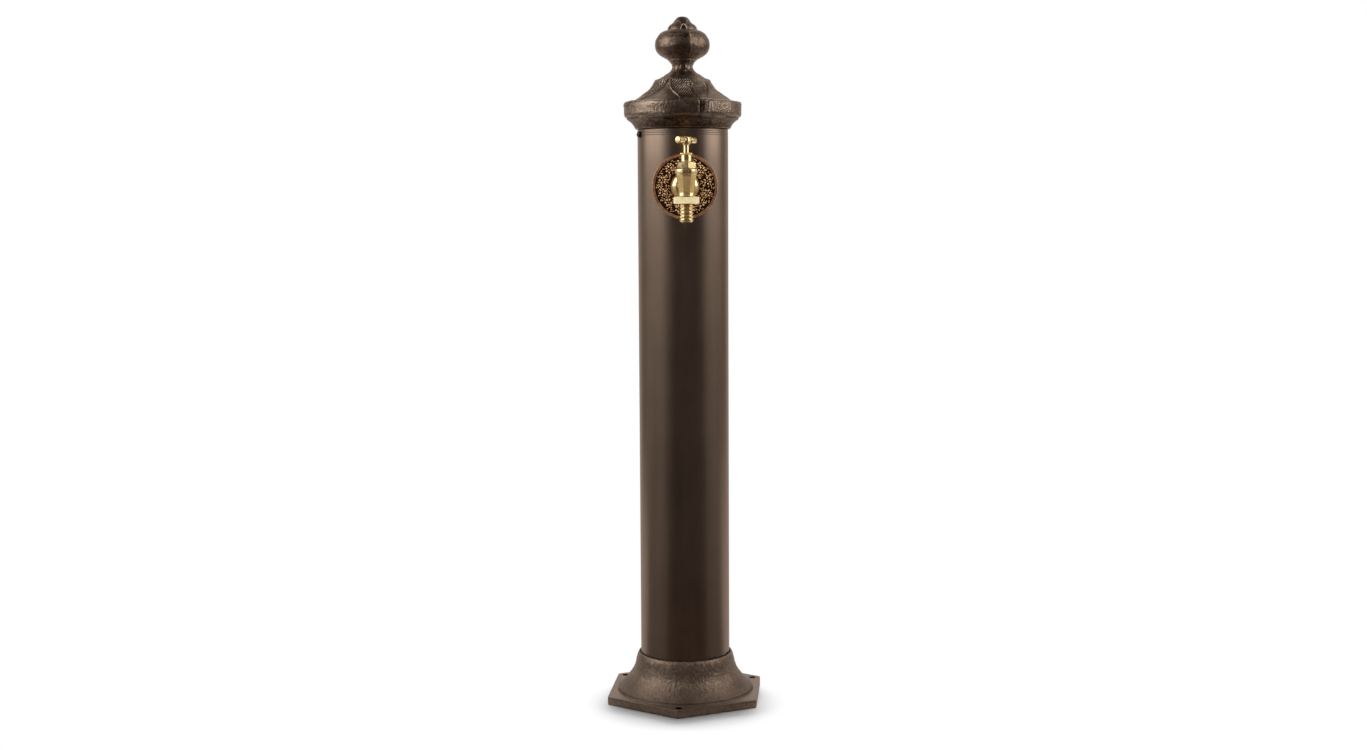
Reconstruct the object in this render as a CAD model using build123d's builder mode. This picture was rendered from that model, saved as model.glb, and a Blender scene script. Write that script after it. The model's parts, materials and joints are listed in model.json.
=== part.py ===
from build123d import *
import math
import os

os.makedirs("parts", exist_ok=True)

# Garden water fountain: a tube column on a cast foot, with a cast cap and a brass bib tap.
# Millimetres. The origin is on the ground on the column's axis, +Z is up and the tap faces -Y.

# Column tube
tube_radius = 60.0
tube_wall = 2.5
tube_length = 735.5

# Cast foot
plate_thickness = 11.0
plate_turn = 7.4  # degrees that the plate's front corner stands left of the tap
plate_margin = 23.7  # from the bell's foot out to the plate's corners
plate_corner_round = 2.5
plate_edge = 1.0
bell_spread = 31.3  # from the tube's surface out to the bell's foot
bell_step = 2.2
socket_height = 62.0
socket_depth = 32.0
socket_gap = 1.2
rim_lip = 0.6
rim_wall = 4.7
rim_curve = 15.0
rim_round_drop = 7.5
rim_taper_drop = 18.0
rim_taper_spread = 2.4
foot_wall = 6.0
ledge_width = 5.0
ledge_drop = 9.0
fixing_hole_radius = 4.5
fixing_hole_offset = 11.2  # from the bell's foot out to the fixing holes' circle
fixing_count = 3
sealant_depth = 8.0
sealant_sink = 0.8

# Cast cap
cap_overhang = 2.6
cap_lip_run = 0.8
cap_lip_rise = 1.6
cornice_overhang = 17.6
cove_height = 12.3
cove_radius = 17.0
cove_lip = 0.6
fillet_band = 2.4
quarter_round = 3.6
cornice_band = 15.4
cornice_edge = 2.6
cornice_slope_run = 11.6
cornice_slope_rise = 4.0
cap_bell_height = 26.7
cap_bell_radius = 62.0
cap_ledge = 3.2
cap_ledge_edge = 1.0
cap_wall = 6.0
cap_vault_radius = 66.0
cap_vault_margin = 4.0
cap_crown_extra = 2.0
spigot_length = 20.0
spigot_wall = 5.0
spigot_gap = 0.5

# Cap screws
cap_screw_radius = 2.5
cap_screw_head_radius = 4.5
cap_screw_head_height = 4.0
cap_screw_dome = 2.8
cap_screw_socket = 1.6
cap_screw_reach = 10.0
cap_screw_drop = 7.5
cap_screw_turn = 18.0  # degrees that the screws' line is turned from the X axis

# Finial
finial_foot_radius = 33.0
finial_foot_edge = 1.2
finial_foot_lean = 0.6
finial_neck_radius = 13.6
finial_neck_height = 17.0
finial_collar_radius = 18.9
finial_collar_height = 26.0
finial_collar_lip = 1.2
finial_ball_radius = 36.0
finial_ball_height = 44.8
finial_shoulder_radius = 21.0
finial_shoulder_height = 64.2
finial_bud_radius = 19.0
finial_bud_lip = 0.6
finial_bud_taper = 2.0
finial_bud_curve = 9.0
finial_bud_height = 68.0
finial_tip_radius = 8.8
finial_cone_curve = 24.0
finial_tip_height = 78.4
finial_height = 82.5
finial_stud_radius = 4.0
finial_stud_reach = 30.0
finial_stud_tail = 22.0
finial_stud_chamfer = 0.6
finial_nut_flats = 13.0
finial_nut_height = 6.5
finial_washer_radius = 8.0
finial_washer_height = 1.6

# Rosette behind the tap
rosette_radius = 42.5
rosette_field = 3.0  # from the tube's front out to the rosette's field
rosette_rim_height = 2.0
rosette_rim_width = 4.5
rosette_rim_round = 1.2
rosette_skirt_overlap = 2.0
rosette_web = 2.2
rosette_wall = 3.0
rosette_boss_radius = 20.0
flange_radius = 19.0
flange_depth = 10.0
flange_nose_radius = 12.6
flange_edge = 1.5
flange_dome = 10.0

# Tap body, with heights from the inlet's axis
tap_drop = 76.0  # from the tube's top down to the inlet's axis
tap_reach = 44.0  # from the tube's front out to the spindle's axis
inlet_thread_radius = 10.48
inlet_thread_inside = 22.0  # from the tube's front in to the shank's end
inlet_bore_radius = 7.0
inlet_neck_radius = 9.5
inlet_shoulder_radius = 12.5
inlet_shoulder_width = 3.0
body_top = 21.5
body_collar_radius = 13.9
body_collar_height = 6.3
body_collar_edge = 0.6
body_collar_step = 0.8
body_shoulder_radius = 12.7
body_shoulder_height = 2.6
body_belly_curve = 60.0
body_waist_curve = 70.0
body_throat_curve = 8.0
body_waist_radius = 10.7
body_throat_radius = 9.8
body_throat = -9.0
body_throat_flare = 1.0
body_wall = 1.8
outlet_thread_radius = 13.2
outlet_thread_top = -13.7
outlet_end = -17.2
outlet_bore_radius = 8.0
duct_height = -1.5
duct_radius = 4.8
duct_wall = 1.6
duct_bury = 0.6
duct_break = 1.0
seat_lip = 0.6
chamber_step = 1.0
chamber_rise = 1.5
chamber_fall = 2.0

# Bonnet, gland and spindle
bonnet_seal_height = 0.7
bonnet_seal_inset = 0.9
bonnet_thread_radius = 11.4
bonnet_thread_length = 6.2
bonnet_hex_flats = 22.5
bonnet_hex_height = 8.1
bonnet_hex_chamfer = 0.8
bonnet_neck_radius = 6.5
bonnet_neck_height = 8.8
bonnet_floor = 1.5
packing_radius = 5.0
packing_height = 3.6
gland_flange_radius = 7.7
gland_flange_height = 2.8
gland_plug_height = 3.0
gland_chamfer = 0.5
spindle_thread_radius = 4.5
spindle_stem_radius = 3.3
spindle_tip_radius = 2.6
spindle_tip_height = 6.0
spindle_taper = 1.0
spindle_lift = 5.0
lift_room = 0.5
jumper_radius = 7.4
jumper_height = 2.0
jumper_stem_radius = 2.95
jumper_stem_height = 4.8
jumper_stem_room = 0.3
jumper_tail_radius = 1.6
jumper_tail_reach = 0.6
washer_radius = 7.2
washer_height = 3.0
washer_nut_flats = 5.5
washer_nut_height = 2.4

# Tee handle
handle_rise = 15.9  # from the gland's top up to the bar's axis
handle_turn = 35.0  # degrees that the bar's near end stands left of the tap's front
handle_length = 39.0
handle_end_radius = 4.5
handle_end_length = 12.0
handle_waist_radius = 3.3
handle_hub_radius = 5.2
handle_hub_below = 6.3
handle_hub_above = 3.7
handle_hub_lip = 0.3
handle_hub_flare = 2.2
handle_hub_round = 1.2
handle_chamfer = 1.0
handle_screw_radius = 1.5
handle_screw_reach = 7.0
handle_dome_radius = 3.4
handle_dome_height = 1.6
handle_dome_rim = 0.4
handle_screw_room = 1.0

# Hose tail and union nut
union_radius = 16.4
union_height = 9.5
union_lip = 1.8
union_thread_room = 0.08
union_edge = 0.8
tail_flange_radius = 12.2
tail_flange_height = 2.0
tail_collar_radius = 8.0
tail_collar_length = 2.5
tail_gap = 0.4
tail_bore_radius = 5.5
barb_count = 5
barb_pitch = 4.44
barb_crest_radius = 8.6
barb_root_radius = 7.6
barb_land = 0.8
barb_lead = 0.6
gasket_height = 1.8

# Supply inside the column
pipe_radius = 8.0
pipe_wall = 2.0
pipe_gap = 0.05
inlet_washer_radius = 17.0
inlet_washer_thickness = 4.0
locknut_flats = 27.0
locknut_thickness = 6.0
elbow_gap = 1.5
elbow_socket_radius = 13.5
elbow_socket_depth = 9.5
elbow_setback = 34.0  # from the tube's front in to the riser's axis
elbow_arm_radius = 11.0
elbow_arm_length = 25.5
elbow_stop = 13.5
compression_thread = 10.0
compression_nut_flats = 24.0
compression_nut_height = 17.0
compression_nut_floor = 3.0
olive_length = 7.0
olive_radius = 10.6
connector_ground_gap = 12.0
connector_thread_length = 20.0
connector_hex_height = 8.0
connector_collar = 2.0
pipe_sink = 2.0

# Clearances
fit_gap = 0.05
saddle_gap = 0.1
screw_clearance = 0.25
wide_clearance = 0.5

# Heights along the column
tube_inner = tube_radius - tube_wall
tube_bottom = socket_height - socket_depth
tube_top = tube_bottom + tube_length
socket_radius = tube_radius + socket_gap
bell_foot_radius = tube_radius + bell_spread
plate_corner_radius = bell_foot_radius + plate_margin
fixing_circle = bell_foot_radius + fixing_hole_offset
front_corner = -90 - plate_turn
inlet_z = tube_top - tap_drop
spindle_y = -(tube_radius + tap_reach)
riser_y = -(tube_radius - elbow_setback)

# The foot's bell: a rounded rim, a slight taper and a wide hollow flare over a small step
rim_radius = socket_radius + rim_wall
taper_radius = rim_radius + rim_taper_spread
rim_shoulder = socket_height - rim_round_drop
flare_top = socket_height - rim_taper_drop
bell_foot_z = plate_thickness + bell_step
rim_taper = (rim_taper_spread, flare_top - rim_shoulder)
hollow_radius = bell_foot_radius - foot_wall
ledge_radius = tube_radius - ledge_width

with BuildPart() as base_casting:
    with BuildSketch():
        RegularPolygon(plate_corner_radius, 6, rotation=front_corner)
        fillet(vertices(), plate_corner_round)
    extrude(amount=plate_thickness)
    chamfer(edges().group_by(Axis.Z)[-1], length=plate_edge)
    with BuildSketch(Plane.XZ):
        with BuildLine():
            flare_start = (taper_radius, flare_top)
            rim_edge = Line((0, socket_height), (socket_radius + rim_lip, socket_height))
            rim_round = RadiusArc(rim_edge @ 1, (rim_radius, rim_shoulder), rim_curve)
            rim_side = Line(rim_round @ 1, flare_start)
            flare = TangentArc(flare_start, (bell_foot_radius, bell_foot_z), tangent=rim_taper)
            Polyline(flare @ 1, (bell_foot_radius, 0), (0, 0), (0, socket_height))
        make_face()
    revolve(axis=Axis.Z)
    with BuildSketch(Plane.XZ):
        with BuildLine():
            inner_top = (ledge_radius, tube_bottom - ledge_drop)
            inner_flare = TangentArc(inner_top, (hollow_radius, plate_thickness / 2), tangent=rim_taper)
            Polyline(inner_flare @ 1, (hollow_radius, 0), (0, 0), (0, inner_top[1]), inner_top)
        make_face()
    revolve(axis=Axis.Z, mode=Mode.SUBTRACT)
    with BuildSketch(Plane.XY.offset(tube_bottom)):
        Circle(socket_radius)
    extrude(amount=socket_depth, mode=Mode.SUBTRACT)
    with BuildSketch(Plane.XY):
        Circle(ledge_radius)
    extrude(amount=tube_bottom, mode=Mode.SUBTRACT)
    with Locations((0, 0, plate_thickness)):
        with PolarLocations(fixing_circle, fixing_count, start_angle=front_corner):
            Hole(fixing_hole_radius, depth=plate_thickness)
base_casting.part.label = "base_casting"
export_step(base_casting.part, "parts/base_casting.step")

# The sealant fills the socket's gap round the tube
with BuildPart() as foot_sealant:
    with BuildSketch(Plane.XY.offset(socket_height - sealant_sink)):
        Circle(socket_radius - fit_gap)
        Circle(tube_radius + fit_gap, mode=Mode.SUBTRACT)
    extrude(amount=-sealant_depth)
foot_sealant.part.label = "foot_sealant"
export_step(foot_sealant.part, "parts/foot_sealant.step")

# The tube, with a hole for the tap's shank and one for each cap screw
shank_hole_radius = inlet_thread_radius + wide_clearance
screw_z = tube_top - cap_screw_drop
screw_out = Vector(1, 0, 0).rotate(Axis.Z, cap_screw_turn)
screw_line = Plane((0, 0, screw_z), x_dir=(0, 0, 1), z_dir=screw_out)
screw_hole_radius = cap_screw_radius + screw_clearance

with BuildPart() as column_tube:
    with BuildSketch(Plane.XY.offset(tube_bottom)):
        Circle(tube_radius)
        Circle(tube_inner, mode=Mode.SUBTRACT)
    extrude(amount=tube_length)
    with BuildSketch(Plane.XZ):
        with Locations((0, inlet_z)):
            Circle(shank_hole_radius)
    extrude(amount=tube_radius + tube_wall, mode=Mode.SUBTRACT)
    with BuildSketch(screw_line):
        Circle(screw_hole_radius)
    extrude(amount=tube_radius + tube_wall, both=True, mode=Mode.SUBTRACT)
column_tube.part.label = "column_tube"
export_step(column_tube.part, "parts/column_tube.step")

# The cap: cove, fillet, quarter round, cornice band, sloped top and hollow bell
cap_rim = tube_radius + cap_overhang
cornice_radius = tube_radius + cornice_overhang
fillet_radius = cornice_radius - quarter_round
cove_top = tube_top + cove_height
round_bottom = cove_top + fillet_band
band_bottom = round_bottom + quarter_round
band_top = band_bottom + cornice_band
slope_start = cornice_radius - cornice_edge
slope_end = slope_start - cornice_slope_run
cap_bell_foot = band_top + cornice_slope_rise
cap_top = cap_bell_foot + cap_bell_height
cap_top_radius = finial_foot_radius + cap_ledge
spigot_radius = tube_inner - spigot_gap
spigot_bore = spigot_radius - spigot_wall
cap_ceiling = cap_top - cap_wall - cap_crown_extra
ceiling_radius = cap_top_radius - cap_wall - cap_vault_margin

with BuildPart() as cap_casting:
    with BuildSketch(Plane.XZ):
        with BuildLine():
            foot = Polyline((0, tube_top - spigot_length), (spigot_radius, tube_top - spigot_length),
                            (spigot_radius, tube_top), (cap_rim, tube_top),
                            (cap_rim + cap_lip_run, tube_top + cap_lip_rise))
            cove = RadiusArc(foot @ 1, (fillet_radius - cove_lip, cove_top), cove_radius)
            band = Polyline(cove @ 1, (fillet_radius, cove_top), (fillet_radius, round_bottom))
            ovolo = RadiusArc(band @ 1, (cornice_radius, band_bottom), -quarter_round)
            side = Line(ovolo @ 1, (cornice_radius, band_top - cornice_edge))
            edge = RadiusArc(side @ 1, (slope_start, band_top), -cornice_edge)
            slope = Line(edge @ 1, (slope_end, cap_bell_foot))
            hollow = RadiusArc(slope @ 1, (cap_top_radius, cap_top - cap_ledge_edge), cap_bell_radius)
            Polyline(hollow @ 1, (cap_top_radius - cap_ledge_edge, cap_top), (0, cap_top),
                     (0, tube_top - spigot_length))
        make_face()
    revolve(axis=Axis.Z)
    with BuildSketch(Plane.XZ):
        with BuildLine():
            bore = Polyline((0, tube_top - spigot_length), (spigot_bore, tube_top - spigot_length),
                            (spigot_bore, tube_top + cap_wall),
                            (fillet_radius - cap_wall, round_bottom + quarter_round),
                            (fillet_radius - cap_wall, band_top - cap_wall),
                            (slope_end - cap_wall, cap_bell_foot - cap_wall))
            vault = RadiusArc(bore @ 1, (ceiling_radius, cap_ceiling), cap_vault_radius)
            Polyline(vault @ 1, (0, cap_ceiling), (0, tube_top - spigot_length))
        make_face()
    revolve(axis=Axis.Z, mode=Mode.SUBTRACT)
    with Locations((0, 0, cap_top)):
        Hole(finial_stud_radius + wide_clearance, depth=cap_wall * 2)
    with BuildSketch(screw_line):
        Circle(cap_screw_radius + fit_gap)
    extrude(amount=tube_radius, both=True, mode=Mode.SUBTRACT)
cap_casting.part.label = "cap_casting"
export_step(cap_casting.part, "parts/cap_casting.step")

# Two dome-head screws hold the cap, one on each side of the tube
with BuildPart() as cap_screws:
    for side_sign in (-1, 1):
        outward = Plane(screw_line.origin + screw_out * (side_sign * tube_radius), x_dir=(0, 0, 1),
                        z_dir=screw_out * side_sign)
        with BuildSketch(outward):
            Circle(cap_screw_radius)
        extrude(amount=-cap_screw_reach)
        with BuildSketch(outward):
            Circle(cap_screw_head_radius)
        extrude(amount=cap_screw_head_height)
        fillet(faces().sort_by(Axis((0, 0, 0), outward.z_dir))[-1].edges(), cap_screw_dome)
        with BuildSketch(outward.offset(cap_screw_head_height)):
            RegularPolygon(cap_screw_socket, 6)
        extrude(amount=-cap_screw_head_height / 2, mode=Mode.SUBTRACT)
cap_screws.part.label = "cap_screws"
export_step(cap_screws.part, "parts/cap_screws.step")

# The finial: flared foot, waisted neck, collar, flattened ball and pointed bud
finial_base = cap_top
neck_z = finial_base + finial_neck_height
collar_z = finial_base + finial_collar_height
ball_z = finial_base + finial_ball_height
shoulder_z = finial_base + finial_shoulder_height
bud_z = finial_base + finial_bud_height
tip_z = finial_base + finial_tip_height
finial_top = finial_base + finial_height
collar_rim_radius = finial_collar_radius + finial_collar_lip
bud_top_radius = finial_bud_radius - finial_bud_taper

with BuildPart() as finial:
    with BuildSketch(Plane.XZ):
        with BuildLine():
            sole = Polyline((0, finial_base), (finial_foot_radius, finial_base),
                            (finial_foot_radius - finial_foot_lean, finial_base + finial_foot_edge))
            lower_neck = TangentArc((finial_neck_radius, neck_z), sole @ 1, tangent=(0, -1))
            upper_neck = TangentArc(lower_neck @ 0, (finial_collar_radius, collar_z), tangent=(0, 1))
            collar = Line(upper_neck @ 1, (collar_rim_radius, collar_z + finial_collar_lip))
            lower_ball = TangentArc((finial_ball_radius, ball_z), collar @ 1, tangent=(0, -1))
            upper_ball = TangentArc((finial_ball_radius, ball_z), (finial_shoulder_radius, shoulder_z),
                                    tangent=(0, 1))
            bud_foot = Line(upper_ball @ 1, (finial_bud_radius, shoulder_z + finial_bud_lip))
            bud_side = RadiusArc(bud_foot @ 1, (bud_top_radius, bud_z), -finial_bud_curve)
            bud_cone = RadiusArc(bud_side @ 1, (finial_tip_radius, tip_z), finial_cone_curve)
            bud_tip = TangentArc((0, finial_top), bud_cone @ 1, tangent=(1, 0))
            Line(bud_tip @ 0, (0, finial_base))
        make_face()
    revolve(axis=Axis.Z)
    with BuildSketch(Plane.XY.offset(finial_base)):
        Circle(finial_stud_radius + fit_gap)
    extrude(amount=finial_stud_reach, mode=Mode.SUBTRACT)
finial.part.label = "finial"
export_step(finial.part, "parts/finial.step")

# A stud, a washer and a nut under the cap's top hold the finial down
washer_z = cap_ceiling - finial_washer_height
nut_z = washer_z - finial_nut_height

with BuildPart() as finial_stud:
    with BuildSketch(Plane.XY.offset(cap_top - finial_stud_tail)):
        Circle(finial_stud_radius)
    extrude(amount=finial_stud_tail + finial_stud_reach)
    chamfer(edges().filter_by(GeomType.CIRCLE), length=finial_stud_chamfer)
finial_stud.part.label = "finial_stud"
export_step(finial_stud.part, "parts/finial_stud.step")

with BuildPart() as finial_washer:
    with BuildSketch(Plane.XY.offset(washer_z)):
        Circle(finial_washer_radius)
        Circle(finial_stud_radius + screw_clearance, mode=Mode.SUBTRACT)
    extrude(amount=finial_washer_height)
finial_washer.part.label = "finial_washer"
export_step(finial_washer.part, "parts/finial_washer.step")

with BuildPart() as finial_nut:
    with BuildSketch(Plane.XY.offset(nut_z)):
        RegularPolygon(finial_nut_flats / 2, 6, major_radius=False)
        Circle(finial_stud_radius + fit_gap, mode=Mode.SUBTRACT)
    extrude(amount=finial_nut_height)
finial_nut.part.label = "finial_nut"
export_step(finial_nut.part, "parts/finial_nut.step")

# The rosette: a flat round face with a raised rim, and a skirt cut to sit on the round tube
field_y = tube_radius + rosette_field
rim_front = field_y + rosette_rim_height
skirt_back = math.sqrt(tube_radius ** 2 - rosette_radius ** 2) - rosette_skirt_overlap

with BuildPart() as rosette_plate:
    with BuildSketch(Plane.XZ.offset(skirt_back)):
        with Locations((0, inlet_z)):
            Circle(rosette_radius)
    extrude(amount=rim_front - skirt_back)
    fillet(edges().group_by(Axis.Y)[0], rosette_rim_round)
    with BuildSketch(Plane.XZ.offset(field_y)):
        with Locations((0, inlet_z)):
            Circle(rosette_radius - rosette_rim_width)
    extrude(amount=rosette_rim_height, mode=Mode.SUBTRACT)
    with BuildSketch(Plane.XZ.offset(skirt_back)):
        with Locations((0, inlet_z)):
            Circle(rosette_radius - rosette_wall)
            Circle(rosette_boss_radius, mode=Mode.SUBTRACT)
    extrude(amount=field_y - skirt_back - rosette_web, mode=Mode.SUBTRACT)
    with BuildSketch(Plane.XY.offset(inlet_z - rosette_radius)):
        Circle(tube_radius + fit_gap)
    extrude(amount=rosette_radius * 2, mode=Mode.SUBTRACT)
    with BuildSketch(Plane.XZ):
        with Locations((0, inlet_z)):
            Circle(shank_hole_radius)
    extrude(amount=rim_front, mode=Mode.SUBTRACT)
rosette_plate.part.label = "rosette_plate"
export_step(rosette_plate.part, "parts/rosette_plate.step")

# The domed flange between the rosette and the tap's shoulder
inlet_axis = Axis((0, 0, inlet_z), (0, 1, 0))
inlet_plane = Plane.XY.offset(inlet_z)
flange_front = field_y + flange_depth
shank_fit = inlet_thread_radius + fit_gap

with BuildPart() as wall_flange:
    with BuildSketch(inlet_plane):
        with BuildLine():
            back = Polyline((shank_fit, -flange_front), (shank_fit, -field_y), (flange_radius, -field_y),
                            (flange_radius, -field_y - flange_edge))
            dome = RadiusArc(back @ 1, (flange_nose_radius, -flange_front), flange_dome)
            Line(dome @ 1, (shank_fit, -flange_front))
        make_face()
    revolve(axis=inlet_axis)
wall_flange.part.label = "wall_flange"
export_step(wall_flange.part, "parts/wall_flange.step")

# The tap body: a tapered barrel with a collar, a shank to the back and a threaded outlet below
spindle_axis = Axis((0, spindle_y, 0), (0, 0, 1))
spindle_plane = Plane.XZ.offset(-spindle_y)
top_z = inlet_z + body_top
collar_bottom = top_z - body_collar_height
throat_z = inlet_z + body_throat
outlet_top_z = inlet_z + outlet_thread_top
outlet_end_z = inlet_z + outlet_end
duct_z = inlet_z + duct_height
duct_outer = duct_radius + duct_wall
seat_z = duct_z + duct_outer + seat_lip
bonnet_end_z = top_z + bonnet_seal_height - bonnet_thread_length
shoulder_front = flange_front + inlet_shoulder_width
shank_end = tube_radius - inlet_thread_inside
bore_stop = -spindle_y - body_waist_radius
bonnet_pocket_z = bonnet_end_z - lift_room
chamber_radius = bonnet_thread_radius - chamber_step
throat_end_radius = outlet_thread_radius - body_throat_flare

with BuildPart() as tap_body:
    with BuildSketch(spindle_plane):
        with BuildLine():
            collar_side = Polyline((0, top_z), (body_collar_radius - body_collar_edge, top_z),
                                   (body_collar_radius, top_z - body_collar_edge),
                                   (body_collar_radius, collar_bottom),
                                   (body_shoulder_radius, collar_bottom - body_collar_step),
                                   (body_shoulder_radius, collar_bottom - body_shoulder_height))
            belly = RadiusArc(collar_side @ 1, (body_waist_radius, inlet_z), -body_belly_curve)
            waist = RadiusArc(belly @ 1, (body_throat_radius, throat_z), body_waist_curve)
            throat = RadiusArc(waist @ 1, (throat_end_radius, outlet_top_z), body_throat_curve)
            Polyline(throat @ 1, (outlet_thread_radius, outlet_top_z), (outlet_thread_radius, outlet_end_z),
                     (0, outlet_end_z), (0, top_z))
        make_face()
    revolve(axis=spindle_axis)
    with BuildSketch(Plane.XZ.offset(shank_end)):
        with Locations((0, inlet_z)):
            Circle(inlet_thread_radius)
    extrude(amount=shoulder_front - shank_end)
    with BuildSketch(Plane.XZ.offset(flange_front)):
        with Locations((0, inlet_z)):
            Circle(inlet_shoulder_radius)
    extrude(amount=inlet_shoulder_width)
    with BuildSketch(Plane.XZ.offset(shoulder_front)):
        with Locations((0, inlet_z)):
            Circle(inlet_neck_radius)
    extrude(amount=-spindle_y - shoulder_front)
    with BuildSketch(spindle_plane):
        with BuildLine():
            Polyline((0, top_z), (bonnet_thread_radius + fit_gap, top_z),
                     (bonnet_thread_radius + fit_gap, bonnet_pocket_z), (chamber_radius, bonnet_pocket_z),
                     (chamber_radius, seat_z + chamber_rise), (body_waist_radius - body_wall, inlet_z),
                     (outlet_bore_radius, throat_z + chamber_fall), (outlet_bore_radius, outlet_end_z),
                     (0, outlet_end_z), (0, top_z))
        make_face()
    revolve(axis=spindle_axis, mode=Mode.SUBTRACT)
    with BuildSketch(Plane.XY.offset(duct_z)):
        with Locations((0, spindle_y)):
            Circle(duct_outer)
    extrude(amount=seat_z - duct_z)
    with Locations((0, spindle_y, duct_z)):
        Sphere(duct_outer)
    with BuildSketch(spindle_plane):
        with Locations((0, duct_z)):
            Circle(duct_outer)
    extrude(amount=duct_bury - body_waist_radius)
    with BuildSketch(Plane.XY.offset(duct_z)):
        with Locations((0, spindle_y)):
            Circle(duct_radius)
    extrude(amount=seat_z - duct_z, mode=Mode.SUBTRACT)
    with Locations((0, spindle_y, duct_z)):
        Sphere(duct_radius, mode=Mode.SUBTRACT)
    with BuildSketch(spindle_plane):
        with Locations((0, duct_z)):
            Circle(duct_radius)
    extrude(amount=-(body_waist_radius + duct_break), mode=Mode.SUBTRACT)
    with BuildSketch(Plane.XZ.offset(shank_end)):
        with Locations((0, inlet_z)):
            Circle(inlet_bore_radius)
    extrude(amount=bore_stop - shank_end, mode=Mode.SUBTRACT)
tap_body.part.label = "tap_body"
export_step(tap_body.part, "parts/tap_body.step")

# The bonnet screws into the body on a thin seal and carries the spindle's thread
hex_bottom = top_z + bonnet_seal_height
hex_top = hex_bottom + bonnet_hex_height
neck_top = hex_top + bonnet_neck_height
spindle_foot_z = seat_z + washer_height + jumper_height
packing_z = neck_top - gland_plug_height - packing_height
bonnet_bore_top = packing_z - bonnet_floor
spindle_thread_top = bonnet_bore_top - lift_room - spindle_taper - spindle_lift
stem_bore_radius = spindle_stem_radius + fit_gap

with BuildPart() as bonnet:
    with BuildSketch(Plane.XY.offset(bonnet_end_z)):
        with Locations((0, spindle_y)):
            Circle(bonnet_thread_radius)
    extrude(amount=bonnet_thread_length)
    with BuildSketch(Plane.XY.offset(hex_bottom)):
        with Locations((0, spindle_y)):
            RegularPolygon(bonnet_hex_flats / 2, 6, major_radius=False, rotation=30)
    extrude(amount=bonnet_hex_height)
    chamfer(edges().group_by(Axis.Z)[-1], length=bonnet_hex_chamfer)
    with BuildSketch(Plane.XY.offset(hex_top)):
        with Locations((0, spindle_y)):
            Circle(bonnet_neck_radius)
    extrude(amount=bonnet_neck_height)
    with BuildSketch(spindle_plane):
        with BuildLine():
            Polyline((0, bonnet_end_z), (spindle_thread_radius + fit_gap, bonnet_end_z),
                     (spindle_thread_radius + fit_gap, bonnet_bore_top),
                     (stem_bore_radius, bonnet_bore_top), (stem_bore_radius, packing_z),
                     (packing_radius, packing_z), (packing_radius, neck_top), (0, neck_top),
                     (0, bonnet_end_z))
        make_face()
    revolve(axis=spindle_axis, mode=Mode.SUBTRACT)
bonnet.part.label = "bonnet"
export_step(bonnet.part, "parts/bonnet.step")

with BuildPart() as bonnet_seal:
    with BuildSketch(Plane.XY.offset(top_z)):
        with Locations((0, spindle_y)):
            Circle(body_collar_radius - bonnet_seal_inset)
            Circle(bonnet_thread_radius + fit_gap, mode=Mode.SUBTRACT)
    extrude(amount=bonnet_seal_height)
bonnet_seal.part.label = "bonnet_seal"
export_step(bonnet_seal.part, "parts/bonnet_seal.step")

# The packing ring and the gland nut that presses it round the stem
with BuildPart() as gland_packing:
    with BuildSketch(Plane.XY.offset(packing_z)):
        with Locations((0, spindle_y)):
            Circle(packing_radius - fit_gap)
            Circle(stem_bore_radius, mode=Mode.SUBTRACT)
    extrude(amount=packing_height)
gland_packing.part.label = "gland_packing"
export_step(gland_packing.part, "parts/gland_packing.step")

gland_bottom = packing_z + packing_height
gland_top = neck_top + gland_flange_height

with BuildPart() as gland_nut:
    with BuildSketch(Plane.XY.offset(gland_bottom)):
        with Locations((0, spindle_y)):
            Circle(packing_radius - fit_gap)
    extrude(amount=neck_top - gland_bottom)
    with BuildSketch(Plane.XY.offset(neck_top)):
        with Locations((0, spindle_y)):
            Circle(gland_flange_radius)
    extrude(amount=gland_flange_height)
    chamfer(edges().filter_by(GeomType.CIRCLE).group_by(Axis.Z)[-1], length=gland_chamfer)
    with BuildSketch(Plane.XY.offset(gland_bottom)):
        with Locations((0, spindle_y)):
            Circle(stem_bore_radius)
    extrude(amount=gland_top - gland_bottom, mode=Mode.SUBTRACT)
gland_nut.part.label = "gland_nut"
export_step(gland_nut.part, "parts/gland_nut.step")

# The valve: a jumper with a rubber washer held by a small nut, shut on the seat
washer_top = seat_z + washer_height
jumper_tail_z = seat_z - washer_nut_height - jumper_tail_reach

with BuildPart() as jumper_valve:
    with BuildSketch(Plane.XY.offset(washer_top)):
        with Locations((0, spindle_y)):
            Circle(jumper_radius)
    extrude(amount=jumper_height)
    with BuildSketch(Plane.XY.offset(spindle_foot_z)):
        with Locations((0, spindle_y)):
            Circle(jumper_stem_radius)
    extrude(amount=jumper_stem_height)
    with BuildSketch(Plane.XY.offset(jumper_tail_z)):
        with Locations((0, spindle_y)):
            Circle(jumper_tail_radius)
    extrude(amount=washer_top - jumper_tail_z)
jumper_valve.part.label = "jumper_valve"
export_step(jumper_valve.part, "parts/jumper_valve.step")

with BuildPart() as valve_washer:
    with BuildSketch(Plane.XY.offset(seat_z)):
        with Locations((0, spindle_y)):
            Circle(washer_radius)
            Circle(jumper_tail_radius + fit_gap, mode=Mode.SUBTRACT)
    extrude(amount=washer_height)
valve_washer.part.label = "valve_washer"
export_step(valve_washer.part, "parts/valve_washer.step")

with BuildPart() as washer_nut:
    with BuildSketch(Plane.XY.offset(seat_z)):
        with Locations((0, spindle_y)):
            RegularPolygon(washer_nut_flats / 2, 6, major_radius=False)
            Circle(jumper_tail_radius + fit_gap, mode=Mode.SUBTRACT)
    extrude(amount=-washer_nut_height)
washer_nut.part.label = "washer_nut"
export_step(washer_nut.part, "parts/washer_nut.step")

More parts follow.
